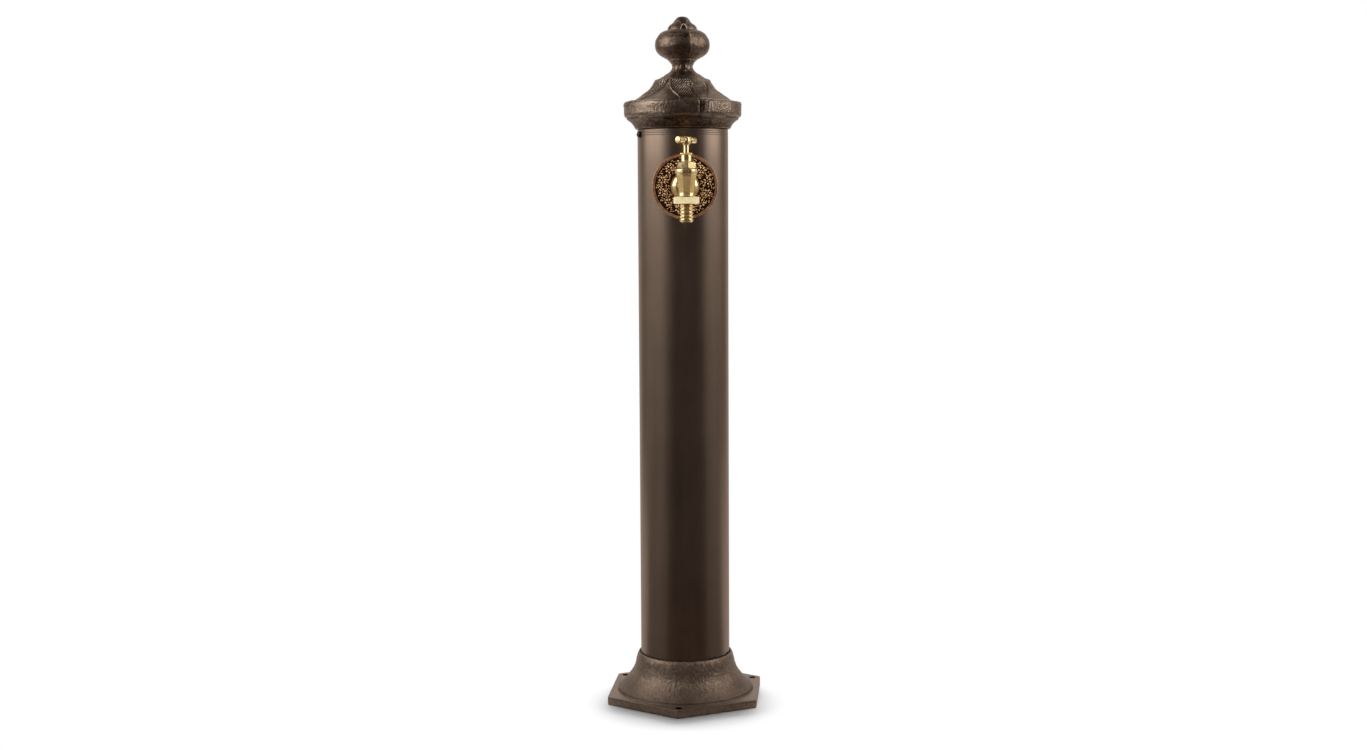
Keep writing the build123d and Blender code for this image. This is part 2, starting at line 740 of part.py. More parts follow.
# The spindle: a threaded foot round the jumper's stem, a plain stem and a tip for the handle
bar_z = gland_top + handle_rise
hub_bottom = bar_z - handle_hub_below
hub_top = bar_z + handle_hub_above
tip_top = hub_bottom + spindle_tip_height
hub_top_radius = handle_hub_radius - handle_hub_round

with BuildPart() as spindle:
    with BuildSketch(spindle_plane):
        with BuildLine():
            Polyline((0, spindle_foot_z), (spindle_thread_radius, spindle_foot_z),
                     (spindle_thread_radius, spindle_thread_top),
                     (spindle_stem_radius, spindle_thread_top + spindle_taper),
                     (spindle_stem_radius, hub_bottom), (spindle_tip_radius, hub_bottom),
                     (spindle_tip_radius, tip_top), (0, tip_top), (0, spindle_foot_z))
        make_face()
    revolve(axis=spindle_axis)
    with BuildSketch(Plane.XY.offset(spindle_foot_z)):
        with Locations((0, spindle_y)):
            Circle(jumper_stem_radius + fit_gap)
    extrude(amount=jumper_stem_height + jumper_stem_room, mode=Mode.SUBTRACT)
    with BuildSketch(Plane.XY.offset(tip_top)):
        with Locations((0, spindle_y)):
            Circle(handle_screw_radius + fit_gap)
    extrude(amount=-handle_screw_reach, mode=Mode.SUBTRACT)
spindle.part.label = "spindle"
export_step(spindle.part, "parts/spindle.step")

# The tee handle: a hub on the spindle's tip with a bar that thickens to both ends
bar_angle = math.radians(-90 - handle_turn)
bar_direction = Vector(math.cos(bar_angle), math.sin(bar_angle), 0)
bar_centre = Vector(0, spindle_y, bar_z)
bar_plane = Plane(bar_centre, x_dir=bar_direction, z_dir=bar_direction.cross(Vector(0, 0, 1)))
bar_half = handle_length / 2
bar_waist_end = bar_half - handle_end_length
bar_shoulder = bar_waist_end + handle_chamfer
bar_edge = bar_half - handle_chamfer
bar_face_radius = handle_end_radius - handle_chamfer

with BuildPart() as handle_bar:
    with BuildSketch(spindle_plane):
        with BuildLine():
            hub_foot = Polyline((0, hub_bottom), (spindle_stem_radius + handle_hub_lip, hub_bottom),
                                (handle_hub_radius, hub_bottom + handle_hub_flare),
                                (handle_hub_radius, hub_top - handle_hub_round))
            hub_round = RadiusArc(hub_foot @ 1, (hub_top_radius, hub_top), -handle_hub_round)
            Polyline(hub_round @ 1, (0, hub_top), (0, hub_bottom))
        make_face()
    revolve(axis=spindle_axis)
    with BuildSketch(bar_plane):
        with BuildLine():
            Polyline((-bar_half, 0), (-bar_half, bar_face_radius), (-bar_edge, handle_end_radius),
                     (-bar_shoulder, handle_end_radius), (-bar_waist_end, handle_waist_radius),
                     (bar_waist_end, handle_waist_radius), (bar_shoulder, handle_end_radius),
                     (bar_edge, handle_end_radius), (bar_half, bar_face_radius), (bar_half, 0),
                     (-bar_half, 0))
        make_face()
    revolve(axis=Axis(bar_centre, bar_direction))
    with BuildSketch(Plane.XY.offset(hub_bottom)):
        with Locations((0, spindle_y)):
            Circle(spindle_tip_radius + fit_gap)
    extrude(amount=spindle_tip_height, mode=Mode.SUBTRACT)
    with BuildSketch(Plane.XY.offset(tip_top)):
        with Locations((0, spindle_y)):
            Circle(handle_screw_radius + fit_gap)
    extrude(amount=hub_top - tip_top, mode=Mode.SUBTRACT)
handle_bar.part.label = "handle_bar"
export_step(handle_bar.part, "parts/handle_bar.step")

with BuildPart() as handle_screw:
    with BuildSketch(spindle_plane):
        with BuildLine():
            screw_tip = tip_top - handle_screw_reach + handle_screw_room
            screw_side = Polyline((0, screw_tip), (handle_screw_radius, screw_tip),
                                  (handle_screw_radius, hub_top), (handle_dome_radius, hub_top),
                                  (handle_dome_radius, hub_top + handle_dome_rim))
            dome_arc = TangentArc((0, hub_top + handle_dome_height), screw_side @ 1, tangent=(1, 0))
            Line(dome_arc @ 0, (0, screw_tip))
        make_face()
    revolve(axis=spindle_axis)
handle_screw.part.label = "handle_screw"
export_step(handle_screw.part, "parts/handle_screw.step")

# The hose tail hangs under the outlet on its flange, with saw-tooth barbs for the hose
gasket_bottom = outlet_end_z - gasket_height
flange_bottom = gasket_bottom - tail_flange_height
collar_end = flange_bottom - tail_collar_length
tail_end = collar_end - barb_count * barb_pitch

with BuildPart() as hose_tail:
    with BuildSketch(spindle_plane):
        with BuildLine():
            tail_points = [(tail_bore_radius, gasket_bottom), (tail_flange_radius, gasket_bottom),
                           (tail_flange_radius, flange_bottom), (tail_collar_radius, flange_bottom),
                           (tail_collar_radius, collar_end)]
            for barb in range(barb_count):
                barb_top = collar_end - barb * barb_pitch
                crest_top = barb_top - barb_lead
                tail_points += [(barb_root_radius, barb_top), (barb_crest_radius, crest_top),
                                (barb_crest_radius, crest_top - barb_land)]
            tail_points += [(barb_root_radius, tail_end), (tail_bore_radius, tail_end),
                            (tail_bore_radius, gasket_bottom)]
            Polyline(*tail_points)
        make_face()
    revolve(axis=spindle_axis)
hose_tail.part.label = "hose_tail"
export_step(hose_tail.part, "parts/hose_tail.step")

with BuildPart() as tail_gasket:
    with BuildSketch(Plane.XY.offset(gasket_bottom)):
        with Locations((0, spindle_y)):
            Circle(tail_flange_radius)
            Circle(outlet_bore_radius, mode=Mode.SUBTRACT)
    extrude(amount=gasket_height)
tail_gasket.part.label = "tail_gasket"
export_step(tail_gasket.part, "parts/tail_gasket.step")

# The union nut draws the tail's flange up against the outlet
union_bottom = flange_bottom - union_lip
union_top = union_bottom + union_height

with BuildPart() as union_nut:
    with BuildSketch(Plane.XY.offset(union_bottom)):
        with Locations((0, spindle_y)):
            Circle(union_radius)
    extrude(amount=union_height)
    chamfer(edges().filter_by(GeomType.CIRCLE), length=union_edge)
    with BuildSketch(Plane.XY.offset(union_bottom)):
        with Locations((0, spindle_y)):
            Circle(barb_crest_radius + tail_gap)
    extrude(amount=union_lip, mode=Mode.SUBTRACT)
    with BuildSketch(Plane.XY.offset(flange_bottom)):
        with Locations((0, spindle_y)):
            Circle(outlet_thread_radius + union_thread_room)
    extrude(amount=union_top - flange_bottom, mode=Mode.SUBTRACT)
union_nut.part.label = "union_nut"
export_step(union_nut.part, "parts/union_nut.step")

# Inside the column a saddle washer and a locknut clamp the tap's shank
washer_face = tube_inner - inlet_washer_thickness
locknut_face = washer_face - locknut_thickness

with BuildPart() as inlet_washer:
    with BuildSketch(Plane.XY.offset(inlet_z - inlet_washer_radius)):
        Circle(tube_inner - saddle_gap)
    extrude(amount=inlet_washer_radius * 2)
    with BuildSketch(Plane.XZ.offset(washer_face)):
        with Locations((0, inlet_z)):
            Circle(inlet_washer_radius)
            Circle(shank_hole_radius, mode=Mode.SUBTRACT)
    extrude(amount=inlet_washer_thickness, mode=Mode.INTERSECT)
inlet_washer.part.label = "inlet_washer"
export_step(inlet_washer.part, "parts/inlet_washer.step")

with BuildPart() as inlet_locknut:
    with BuildSketch(Plane.XZ.offset(locknut_face)):
        with Locations((0, inlet_z)):
            RegularPolygon(locknut_flats / 2, 6, major_radius=False)
            Circle(shank_fit, mode=Mode.SUBTRACT)
    extrude(amount=locknut_thickness)
inlet_locknut.part.label = "inlet_locknut"
export_step(inlet_locknut.part, "parts/inlet_locknut.step")

# The elbow turns the supply down to the riser pipe
elbow_front = locknut_face - elbow_gap
socket_floor = elbow_front - elbow_socket_depth
arm_end = inlet_z - elbow_arm_length
pipe_top = inlet_z - elbow_stop
pipe_bore_radius = pipe_radius - pipe_wall
pipe_socket_radius = pipe_radius + pipe_gap

with BuildPart() as inlet_elbow:
    with BuildSketch(Plane.XZ.offset(-riser_y)):
        with Locations((0, inlet_z)):
            Circle(elbow_socket_radius)
    extrude(amount=elbow_front + riser_y)
    with Locations((0, riser_y, inlet_z)):
        Sphere(elbow_socket_radius)
    with BuildSketch(Plane.XY.offset(arm_end)):
        with Locations((0, riser_y)):
            Circle(elbow_arm_radius)
    extrude(amount=elbow_arm_length)
    with BuildSketch(Plane.XZ.offset(socket_floor)):
        with Locations((0, inlet_z)):
            Circle(shank_fit)
    extrude(amount=elbow_front - socket_floor, mode=Mode.SUBTRACT)
    with BuildSketch(Plane.XZ.offset(-riser_y)):
        with Locations((0, inlet_z)):
            Circle(inlet_bore_radius)
    extrude(amount=elbow_front + riser_y, mode=Mode.SUBTRACT)
    with Locations((0, riser_y, inlet_z)):
        Sphere(inlet_bore_radius, mode=Mode.SUBTRACT)
    with BuildSketch(Plane.XY.offset(arm_end)):
        with Locations((0, riser_y)):
            Circle(inlet_bore_radius)
    extrude(amount=elbow_arm_length, mode=Mode.SUBTRACT)
    with BuildSketch(Plane.XY.offset(arm_end)):
        with Locations((0, riser_y)):
            Circle(pipe_socket_radius)
    extrude(amount=pipe_top - arm_end, mode=Mode.SUBTRACT)
inlet_elbow.part.label = "inlet_elbow"
export_step(inlet_elbow.part, "parts/inlet_elbow.step")

# The connector at the riser's foot: a compression end above, a hexagon and a male thread below
connector_thread_top = connector_ground_gap + connector_thread_length
connector_hex_top = connector_thread_top + connector_hex_height
connector_top = connector_hex_top + compression_thread + connector_collar
pipe_bottom = connector_hex_top - pipe_sink

with BuildPart() as supply_connector:
    with BuildSketch(Plane.XY.offset(connector_ground_gap)):
        with Locations((0, riser_y)):
            Circle(inlet_thread_radius)
    extrude(amount=connector_thread_length)
    with BuildSketch(Plane.XY.offset(connector_thread_top)):
        with Locations((0, riser_y)):
            RegularPolygon(compression_nut_flats / 2, 6, major_radius=False)
    extrude(amount=connector_hex_height)
    with BuildSketch(Plane.XY.offset(connector_hex_top)):
        with Locations((0, riser_y)):
            Circle(elbow_arm_radius)
    extrude(amount=connector_top - connector_hex_top)
    with BuildSketch(Plane.XY.offset(connector_ground_gap)):
        with Locations((0, riser_y)):
            Circle(inlet_bore_radius)
    extrude(amount=connector_top - connector_ground_gap, mode=Mode.SUBTRACT)
    with BuildSketch(Plane.XY.offset(pipe_bottom)):
        with Locations((0, riser_y)):
            Circle(pipe_socket_radius)
    extrude(amount=connector_top - pipe_bottom, mode=Mode.SUBTRACT)
supply_connector.part.label = "supply_connector"
export_step(supply_connector.part, "parts/supply_connector.step")

with BuildPart() as riser_pipe:
    with BuildSketch(Plane.XY.offset(pipe_bottom)):
        with Locations((0, riser_y)):
            Circle(pipe_radius)
            Circle(pipe_bore_radius, mode=Mode.SUBTRACT)
    extrude(amount=pipe_top - pipe_bottom)
riser_pipe.part.label = "riser_pipe"
export_step(riser_pipe.part, "parts/riser_pipe.step")

# A compression nut and an olive at each end of the riser: (thread's end, direction of the pipe)
riser_joints = ((arm_end, -1), (connector_top, 1))

with BuildPart() as riser_olives:
    for thread_end, away in riser_joints:
        with BuildSketch(Plane.XY.offset(thread_end)):
            with Locations((0, riser_y)):
                Circle(olive_radius)
                Circle(pipe_socket_radius, mode=Mode.SUBTRACT)
        extrude(amount=away * olive_length)
riser_olives.part.label = "riser_olives"
export_step(riser_olives.part, "parts/riser_olives.step")

with BuildPart() as riser_nuts:
    for thread_end, away in riser_joints:
        nut_floor = thread_end + away * olive_length
        nut_end = nut_floor + away * compression_nut_floor
        with BuildSketch(Plane.XY.offset(nut_end)):
            with Locations((0, riser_y)):
                RegularPolygon(compression_nut_flats / 2, 6, major_radius=False)
                Circle(pipe_socket_radius, mode=Mode.SUBTRACT)
        extrude(amount=-away * compression_nut_height)
        with BuildSketch(Plane.XY.offset(nut_floor)):
            with Locations((0, riser_y)):
                Circle(elbow_arm_radius + fit_gap)
        extrude(amount=-away * (compression_nut_height - compression_nut_floor), mode=Mode.SUBTRACT)
riser_nuts.part.label = "riser_nuts"
export_step(riser_nuts.part, "parts/riser_nuts.step")

print("overall height", round(finial_top, 1), "inlet height", round(inlet_z, 1))
print("spindle axis y", spindle_y, "tail end z", round(tail_end, 2))
print("union z", round(union_bottom, 2), round(union_top, 2))
print("bar z", round(bar_z, 2), "hex", round(hex_bottom, 2), round(hex_top, 2), "gland", round(gland_top, 2))
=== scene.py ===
import bmesh
import bpy
import json
import math
import random
from mathutils import Matrix, Vector, noise


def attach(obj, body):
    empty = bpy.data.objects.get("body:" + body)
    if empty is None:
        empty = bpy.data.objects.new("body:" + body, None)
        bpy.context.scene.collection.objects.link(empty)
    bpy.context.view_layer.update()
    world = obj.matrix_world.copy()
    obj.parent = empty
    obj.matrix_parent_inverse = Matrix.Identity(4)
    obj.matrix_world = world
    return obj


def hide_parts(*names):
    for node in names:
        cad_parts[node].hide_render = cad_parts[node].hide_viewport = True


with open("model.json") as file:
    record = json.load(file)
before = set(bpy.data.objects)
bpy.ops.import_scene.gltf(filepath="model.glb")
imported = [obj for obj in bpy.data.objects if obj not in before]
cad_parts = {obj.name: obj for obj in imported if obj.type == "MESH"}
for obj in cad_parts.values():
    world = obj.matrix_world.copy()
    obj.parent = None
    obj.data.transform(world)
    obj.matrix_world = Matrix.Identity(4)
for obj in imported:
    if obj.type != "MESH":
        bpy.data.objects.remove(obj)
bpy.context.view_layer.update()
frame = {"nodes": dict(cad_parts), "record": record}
nodes = frame["nodes"]
mm = 0.001


# Shader maths: a Signal is one socket, and sums of Signals add Math nodes

def operator(kind, reflected=False):
    def combine(self, other):
        first, second = (other, self) if reflected else (self, other)
        return self.graph.node("ShaderNodeMath", {"operation": kind}, {0: first, 1: second})
    return combine


class Signal:
    def __init__(self, graph, socket):
        self.graph = graph
        self.socket = socket

    __add__ = operator("ADD")
    __radd__ = operator("ADD", True)
    __sub__ = operator("SUBTRACT")
    __rsub__ = operator("SUBTRACT", True)
    __mul__ = operator("MULTIPLY")
    __rmul__ = operator("MULTIPLY", True)
    __pow__ = operator("POWER")


class Graph:
    def __init__(self, owner):
        owner.use_nodes = True
        self.tree = owner.node_tree

    def feed(self, socket, value):
        if isinstance(value, Signal):
            self.tree.links.new(value.socket, socket)
        else:
            socket.default_value = (*value, 1) if socket.type == "RGBA" else value

    def node(self, kind, settings, inputs, output=0):
        made = self.tree.nodes.new(kind)
        for key, value in settings.items():
            if key == "stops":
                ramp = made.color_ramp
                while len(ramp.elements) < len(value):
                    ramp.elements.new(0.5)
                for stop, (place, colour) in zip(ramp.elements, value):
                    stop.position = place
                    stop.color = (*colour, 1)
            else:
                setattr(made, key, value)
        for key, value in inputs.items():
            self.feed(made.inputs[key], value)
        return Signal(self, made.outputs[output])


class Finish(Graph):
    def __init__(self, name):
        self.material = bpy.data.materials.new(name)
        super().__init__(self.material)
        self.shader = self.tree.nodes["Principled BSDF"]
        self.spot = self.node("ShaderNodeTexCoord", {}, {}, "Object")

    def noise(self, scale, detail, rough, spot=None):
        return self.node("ShaderNodeTexNoise", {}, {
            "Vector": spot or self.spot, "Scale": scale, "Detail": detail, "Roughness": rough})

    def stretched(self, scale):
        return self.node("ShaderNodeMapping", {}, {"Vector": self.spot, "Scale": scale})

    def ramp(self, factor, stops):
        return self.node("ShaderNodeValToRGB", {"stops": stops}, {"Fac": factor})

    def smooth(self, value, low, high):
        return self.node("ShaderNodeMapRange", {"interpolation_type": "SMOOTHSTEP"}, {
            "Value": value, "From Min": low, "From Max": high})

    def between(self, value, low, lowIn, highIn, high):
        return self.smooth(value, low, lowIn) * self.smooth(value, high, highIn)

    def blendColour(self, factor, first, second):
        return self.node("ShaderNodeMix", {"data_type": "RGBA"}, {0: factor, 6: first, 7: second}, 2)

    def relief(self):
        # how light a carved surface is painted, from -1 in its hollows to 1 on its rims: wear, with painted shade in
        # the hollows and painted highlight on rims and ledges
        return self.node("ShaderNodeAttribute", {"attribute_name": "relief"}, {}, "Fac")

    def axes(self):
        parts = self.node("ShaderNodeSeparateXYZ", {}, {0: self.spot}).socket.node
        return [Signal(self, out) for out in parts.outputs]

    def fromLine(self, first, second, place):
        # distance from a line that is parallel to the third axis
        return ((first - place[0]) ** 2.0 + (second - place[1]) ** 2.0) ** 0.5

    def dress(self, colour, roughness, height=None, depth=0.0002, **fixed):
        self.feed(self.shader.inputs["Base Color"], colour)
        self.feed(self.shader.inputs["Roughness"], roughness)
        for key, value in fixed.items():
            self.feed(self.shader.inputs[key.replace("_", " ")], value)
        if height is not None:
            bump = self.node("ShaderNodeBump", {}, {"Height": height, "Distance": depth, "Strength": 1.0})
            self.feed(self.shader.inputs["Normal"], bump)
        return self.material


# Finishes, one for each material slot

def polar(reach, degrees):
    angle = math.radians(degrees)
    return reach * math.cos(angle), reach * math.sin(angle)


# insets: by the radius at which a ring of the plate's edge is turned, how far off the hexagon it ends
foot = {"cornerRadius": 115.0, "cornerEase": 0.4, "frontCorner": -97.4, "plate": 11.0, "bellFoot": 91.3,
        "holeCircle": 102.5, "holeRadius": 4.5, "steps": 720, "sand": 0.3,
        "insets": {200: -1.4, 201: -0.5, 201.5: -0.5}}
holeSpots = [polar(foot["holeCircle"], foot["frontCorner"] + turn * 120) for turn in range(3)]

# heights and reaches of the zones are in metres, as a finish reads them
paint = {"pool": (0.035, 0.022, 0.015), "dark": (0.125, 0.086, 0.062), "brown": (0.20, 0.15, 0.113),
         "wornAndLit": (0.34, 0.27, 0.215), "bareAndLit": (0.8, 0.68, 0.56), "rust": (0.17, 0.115, 0.08),
         "hole": (0.008, 0.006, 0.005), "shaded": (0.09, 0.062, 0.047), "edgeTint": (0.78, 0.69, 0.65),
         "metal": 0.975, "grain": 900, "patches": 60, "roughness": 0.35, "footZone": (0.072, 0.05),
         "plateZone": (0.0125, 0.0095), "bellShadeZone": (0.0122, 0.0136, 0.02, 0.036),
         "plateTopLightZone": (0.0101, 0.0106, 0.0118, 0.0125), "holeShadeZone": (0.0052, 0.0047)}


def makeCastPaint():
    f = Finish("castPaint")
    x, y, z = f.axes()
    patches = f.noise(paint["patches"], 5, 0.62)
    grain = f.noise(paint["grain"], 6, 0.62)
    pits = f.noise(paint["grain"] * 0.32, 3, 0.5)
    low = f.smooth(z, *paint["footZone"])  # the foot is rougher and warmer than the cap
    # the carved relief's tone makes rims and ledges lighter, as wear and painted highlight, and hollows darker, as
    # painted shade
    shade = 0.46 + (patches - 0.5) * (0.36 + low * 0.2) + (pits - 0.5) * (0.3 + low * 0.2) + f.relief() * 0.28
    colour = f.ramp(shade, [(0.1, paint["pool"]), (0.32, paint["dark"]), (0.5, paint["brown"]),
                            (0.7, paint["wornAndLit"]), (0.95, paint["bareAndLit"])])
    edge = f.smooth(z, *paint["plateZone"])
    colour = f.blendColour(low * 0.3 + edge * 0.3, colour, paint["rust"])
    # painted shade on the lower bell
    colour = f.blendColour(f.between(z, *paint["bellShadeZone"]) * 0.55, colour, paint["shaded"])
    # painted light: the plate's top is lighter where it faces up to the lamps
    colour = f.blendColour(f.between(z, *paint["plateTopLightZone"]) * 0.4, colour, paint["wornAndLit"])
    # painted shade on the bolt holes' walls and round their mouths
    for place in holeSpots:
        inside = f.smooth(f.fromLine(x, y, (place[0] * mm, place[1] * mm)), *paint["holeShadeZone"])
        colour = f.blendColour(inside * edge, colour, paint["hole"])
    rough = paint["roughness"] + low * 0.06 + (grain - 0.5) * 0.22 + (patches - 0.5) * 0.12
    f.feed(f.shader.inputs["Metallic"], paint["metal"] - low * 0.14)
    return f.dress(colour, rough, grain * (0.7 + low * 0.6) + pits * 1.2, 0.0003, Specular_Tint=paint["edgeTint"])


tubePaint = {"dark": (0.175, 0.128, 0.096), "brown": (0.225, 0.165, 0.124), "peel": 620, "roughness": 0.35}


def makeTubePaint():
    f = Finish("tubePaint")
    cloud = f.noise(9, 4, 0.6)
    peel = f.noise(tubePaint["peel"], 3, 0.5)
    streak = f.noise(60, 4, 0.6, f.stretched((1, 1, 0.05)))
    hoops = f.noise(90, 3, 0.5, f.stretched((0.2, 0.2, 9)))
    colour = f.ramp(cloud * 0.5 + streak * 0.5, [(0.35, tubePaint["dark"]), (0.65, tubePaint["brown"])])
    rough = tubePaint["roughness"] + (cloud - 0.5) * 0.08 + (streak - 0.5) * 0.08
    bump = peel + hoops * 0.6
    return f.dress(colour, rough, bump, 0.00005, Metallic=paint["metal"], Specular_Tint=paint["edgeTint"])


copper = {"recess": (0.035, 0.013, 0.006), "base": (0.88, 0.31, 0.09), "bright": (1.0, 0.68, 0.36),
          "rimDark": (0.19, 0.085, 0.04), "rimLight": (0.56, 0.31, 0.17), "field": 0.0631, "top": 0.0639,
          "rimRadius": 0.0383, "grain": 1500}


def makeCopper():
    f = Finish("copperPatina")
    x, y, z = f.axes()
    grain = f.noise(copper["grain"], 5, 0.6)
    patches = f.noise(160, 4, 0.65)
    lift = f.smooth(0 - y, copper["field"], copper["top"])
    shade = lift * 0.85 + (patches - 0.5) * 0.7 + (grain - 0.5) * 0.25
    colour = f.ramp(shade, [(0.1, copper["recess"]), (0.42, copper["base"]), (0.9, copper["bright"])])
    around = f.fromLine(x, z, (0, tube["inlet"] * mm))
    rimColour = f.ramp(patches + (grain - 0.5) * 0.3, [(0.3, copper["rimDark"]), (0.72, copper["rimLight"])])
    onRim = f.smooth(around, copper["rimRadius"], copper["rimRadius"] + 0.0005)
    colour = f.blendColour(onRim, colour, rimColour)
    rough = 0.4 - lift * 0.18 + (grain - 0.5) * 0.16
    return f.dress(colour, rough, grain, 0.0001, Metallic=0.62)


brass = {"deep": (0.74, 0.41, 0.12), "gold": (0.88, 0.68, 0.33), "pale": (0.96, 0.83, 0.53),
         "knurlSheen": (0.98, 0.88, 0.56), "roughness": 0.17, "metal": 0.93, "barrelFrontReflection": (-0.088, -0.092),
         "barrelReflectionZone": (0.676, 0.684, 0.7, 0.704)}


def makeBrass(name, roughness, tone):
    f = Finish(name)
    cloud = f.noise(75, 4, 0.6)
    turning = f.noise(240, 3, 0.55, f.stretched((0.25, 0.25, 6.0)))
    smear = f.noise(420, 4, 0.6)
    colour = f.ramp(cloud * 0.7 + smear * 0.3, [(0.25, brass["deep"]), (0.5, brass["gold"]), (0.8, tone)])
    knurl = f.relief()  # a knurled face scatters the light
    # painted sheen: the knurled face is given a paler colour
    colour = f.blendColour(knurl * 0.9, colour, brass["knurlSheen"])
    rough = roughness + (cloud - 0.5) * 0.12 + (smear - 0.5) * 0.1 + knurl * 0.14
    x, y, z = f.axes()
    # painted reflection: the barrel's front, facing the camera, takes a deeper, less metallic tone
    barrel = f.smooth(y, *brass["barrelFrontReflection"]) * f.between(z, *brass["barrelReflectionZone"])
    colour = f.blendColour(barrel * 0.5, colour, brass["deep"])
    f.feed(f.shader.inputs["Metallic"], brass["metal"] - knurl * 0.62 - barrel * 0.2)
    return f.dress(colour, rough, turning + smear * 0.5, 0.00003)


def makeZinc():
    f = Finish("zincSteel")
    spangle = f.node("ShaderNodeTexVoronoi", {}, {"Vector": f.spot, "Scale": 700}, "Distance")
    colour = f.ramp(spangle, [(0.1, (0.4, 0.41, 0.4)), (0.8, (0.62, 0.62, 0.58))])
    return f.dress(colour, 0.3 + spangle * 0.15, spangle, 0.00002, Metallic=1.0)


def makeDark(name, low, high, roughness, scale, depth, **fixed):
    f = Finish(name)
    grain = f.noise(scale, 5, 0.6)
    colour = f.ramp(grain, [(0.3, low), (0.7, high)])
    return f.dress(colour, roughness + (grain - 0.5) * 0.2, grain, depth, **fixed)


tube = {"radius": 60.0, "wall": 2.5, "bottom": 30.0, "top": 765.5, "shankHole": 10.98, "inlet": 689.5,
        "rings": ((756.2, 0.14), (758.7, 0.22), (760.9, 0.16), (763.2, 0.24)), "ringHalf": 1.05, "steps": 256}

finishes = {
    "cast_paint": makeCastPaint(),
    "tube_paint": makeTubePaint(),
    "copper_patina": makeCopper(),
    "polished_brass": makeBrass("polishedBrass", brass["roughness"], brass["pale"]),
    "plain_brass": makeBrass("plainBrass", 0.34, brass["gold"]),
    "zinc_steel": makeZinc(),
    "black_sealant": makeDark("blackSealant", (0.01, 0.007, 0.006), (0.02, 0.014, 0.011), 0.6, 500, 0.0001,
                              Specular_IOR_Level=0.08),
    "black_steel": makeDark("blackSteel", (0.004, 0.0035, 0.0035), (0.012, 0.01, 0.009), 0.3, 900, 0.00003),
    "black_rubber": makeDark("blackRubber", (0.012, 0.012, 0.012), (0.03, 0.03, 0.03), 0.6, 1400, 0.00008),
    "red_fibre": makeDark("redFibre", (0.16, 0.03, 0.02), (0.3, 0.07, 0.04), 0.7, 1800, 0.0001),
    "white_pipe": makeDark("whitePipe", (0.72, 0.72, 0.7), (0.84, 0.84, 0.81), 0.42, 300, 0.00003),
}
print("finishes ready")


# Profiles and forms, in millimetres until a form is kept

def moved(x, y, z):
    return Matrix.Translation((x, y, z))


def spun(degrees, axis):
    return Matrix.Rotation(math.radians(degrees), 4, axis)


def azimuth(point):
    return math.degrees(math.atan2(point.y, point.x))


def ripple(x, y, layer):
    return noise.noise(Vector((x, y, layer)))


def rounded(points, radius):
    # cuts each inner corner of a profile with a short curve
    cuts = 3
    out = [tuple(points[0])]
    for before, here, after in zip(points, points[1:], points[2:]):
        corner = Vector(here)
        toBefore = Vector(before) - corner
        toAfter = Vector(after) - corner
        reach = min(radius, toBefore.length * 0.45, toAfter.length * 0.45)
        start = corner + toBefore.normalized() * reach
        end = corner + toAfter.normalized() * reach
        for step in range(cuts + 1):
            share = step / cuts
            out.append(tuple(start.lerp(corner, share).lerp(corner.lerp(end, share), share)))
    out.append(tuple(points[-1]))
    return out


def spline(points, cuts):
    # a smooth run through measured points
    run = [Vector(point) for point in points]
    ends = [run[0] * 2 - run[1]] + run + [run[-1] * 2 - run[-2]]
    out = []
    for a, b, c, d in zip(ends, ends[1:], ends[2:], ends[3:]):
        for step in range(cuts):
            t = step / cuts
            out.append(0.5 * (2 * b + (c - a) * t + (2 * a - 5 * b + 4 * c - d) * t ** 2
                              + (3 * b - a - 3 * c + d) * t ** 3))
    return [tuple(point) for point in out + [run[-1]]]


def arcRun(start, end, bulge, cuts):
    # a shallow curve between two points, bulging to the left of the way by that much
    first = Vector(start)
    last = Vector(end)
    way = last - first
    side = Vector((-way.y, way.x)).normalized()
    control = (first + last) / 2 + side * bulge * 2
    return [tuple(first.lerp(control, n / cuts).lerp(control.lerp(last, n / cuts), n / cuts))
            for n in range(cuts + 1)]


def turned(profile, steps, startAngle=0.0):
    # sweeps a closed profile of (radius, height) round the Z axis: a short spin, then doubled by turned copies
    mostSpun = 24
    seamGap = 2e-3
    form = bmesh.new()
    turnStart = Matrix.Rotation(math.radians(startAngle), 3, "Z")
    verts = [form.verts.new(turnStart @ Vector((radius, 0, height))) for radius, height in profile]
    edges = [form.edges.new((a, b)) for a, b in zip(verts, verts[1:] + verts[:1])
             if not (a.co.xy.length < 1e-6 and b.co.xy.length < 1e-6)]
    sweep = math.tau
    while steps > mostSpun and steps % 2 == 0:
        steps //= 2
        sweep /= 2
    bmesh.ops.spin(form, geom=verts + edges, cent=(0, 0, 0), axis=(0, 0, 1), angle=sweep, steps=steps,
                   use_merge=False, use_duplicate=False)
    while sweep < math.tau - 1e-6:
        copy = bmesh.ops.duplicate(form, geom=form.verts[:] + form.edges[:] + form.faces[:])["geom"]
        bmesh.ops.rotate(form, cent=(0, 0, 0), matrix=Matrix.Rotation(sweep, 3, "Z"),
                         verts=[part for part in copy if isinstance(part, bmesh.types.BMVert)])
        sweep *= 2
    bmesh.ops.remove_doubles(form, verts=form.verts, dist=seamGap)
    bmesh.ops.recalc_face_normals(form, faces=form.faces)
    return form


def placed(form, *matrices):
    for matrix in matrices:
        bmesh.ops.transform(form, matrix=matrix, verts=form.verts)
    return form


def rod(sides, radius, depth, matrix):
    form = bmesh.new()
    bmesh.ops.create_cone(form, cap_ends=True, segments=sides, radius1=radius, radius2=radius, depth=depth,
                          matrix=matrix)
    return form


def joined(first, other):
    # copies the other form's geometry into the first
    carrier = bpy.data.meshes.new("carrier")
    other.to_mesh(carrier)
    other.free()
    first.from_mesh(carrier)
    bpy.data.meshes.remove(carrier)
    return first


def added(name, data):
    thing = bpy.data.objects.new(name, data)
    bpy.context.scene.collection.objects.link(thing)
    return thing


def standing(name, form):
    # a form becomes an object in the scene
    mesh = bpy.data.meshes.new(name)
    form.to_mesh(mesh)
    form.free()
    return added(name, mesh)


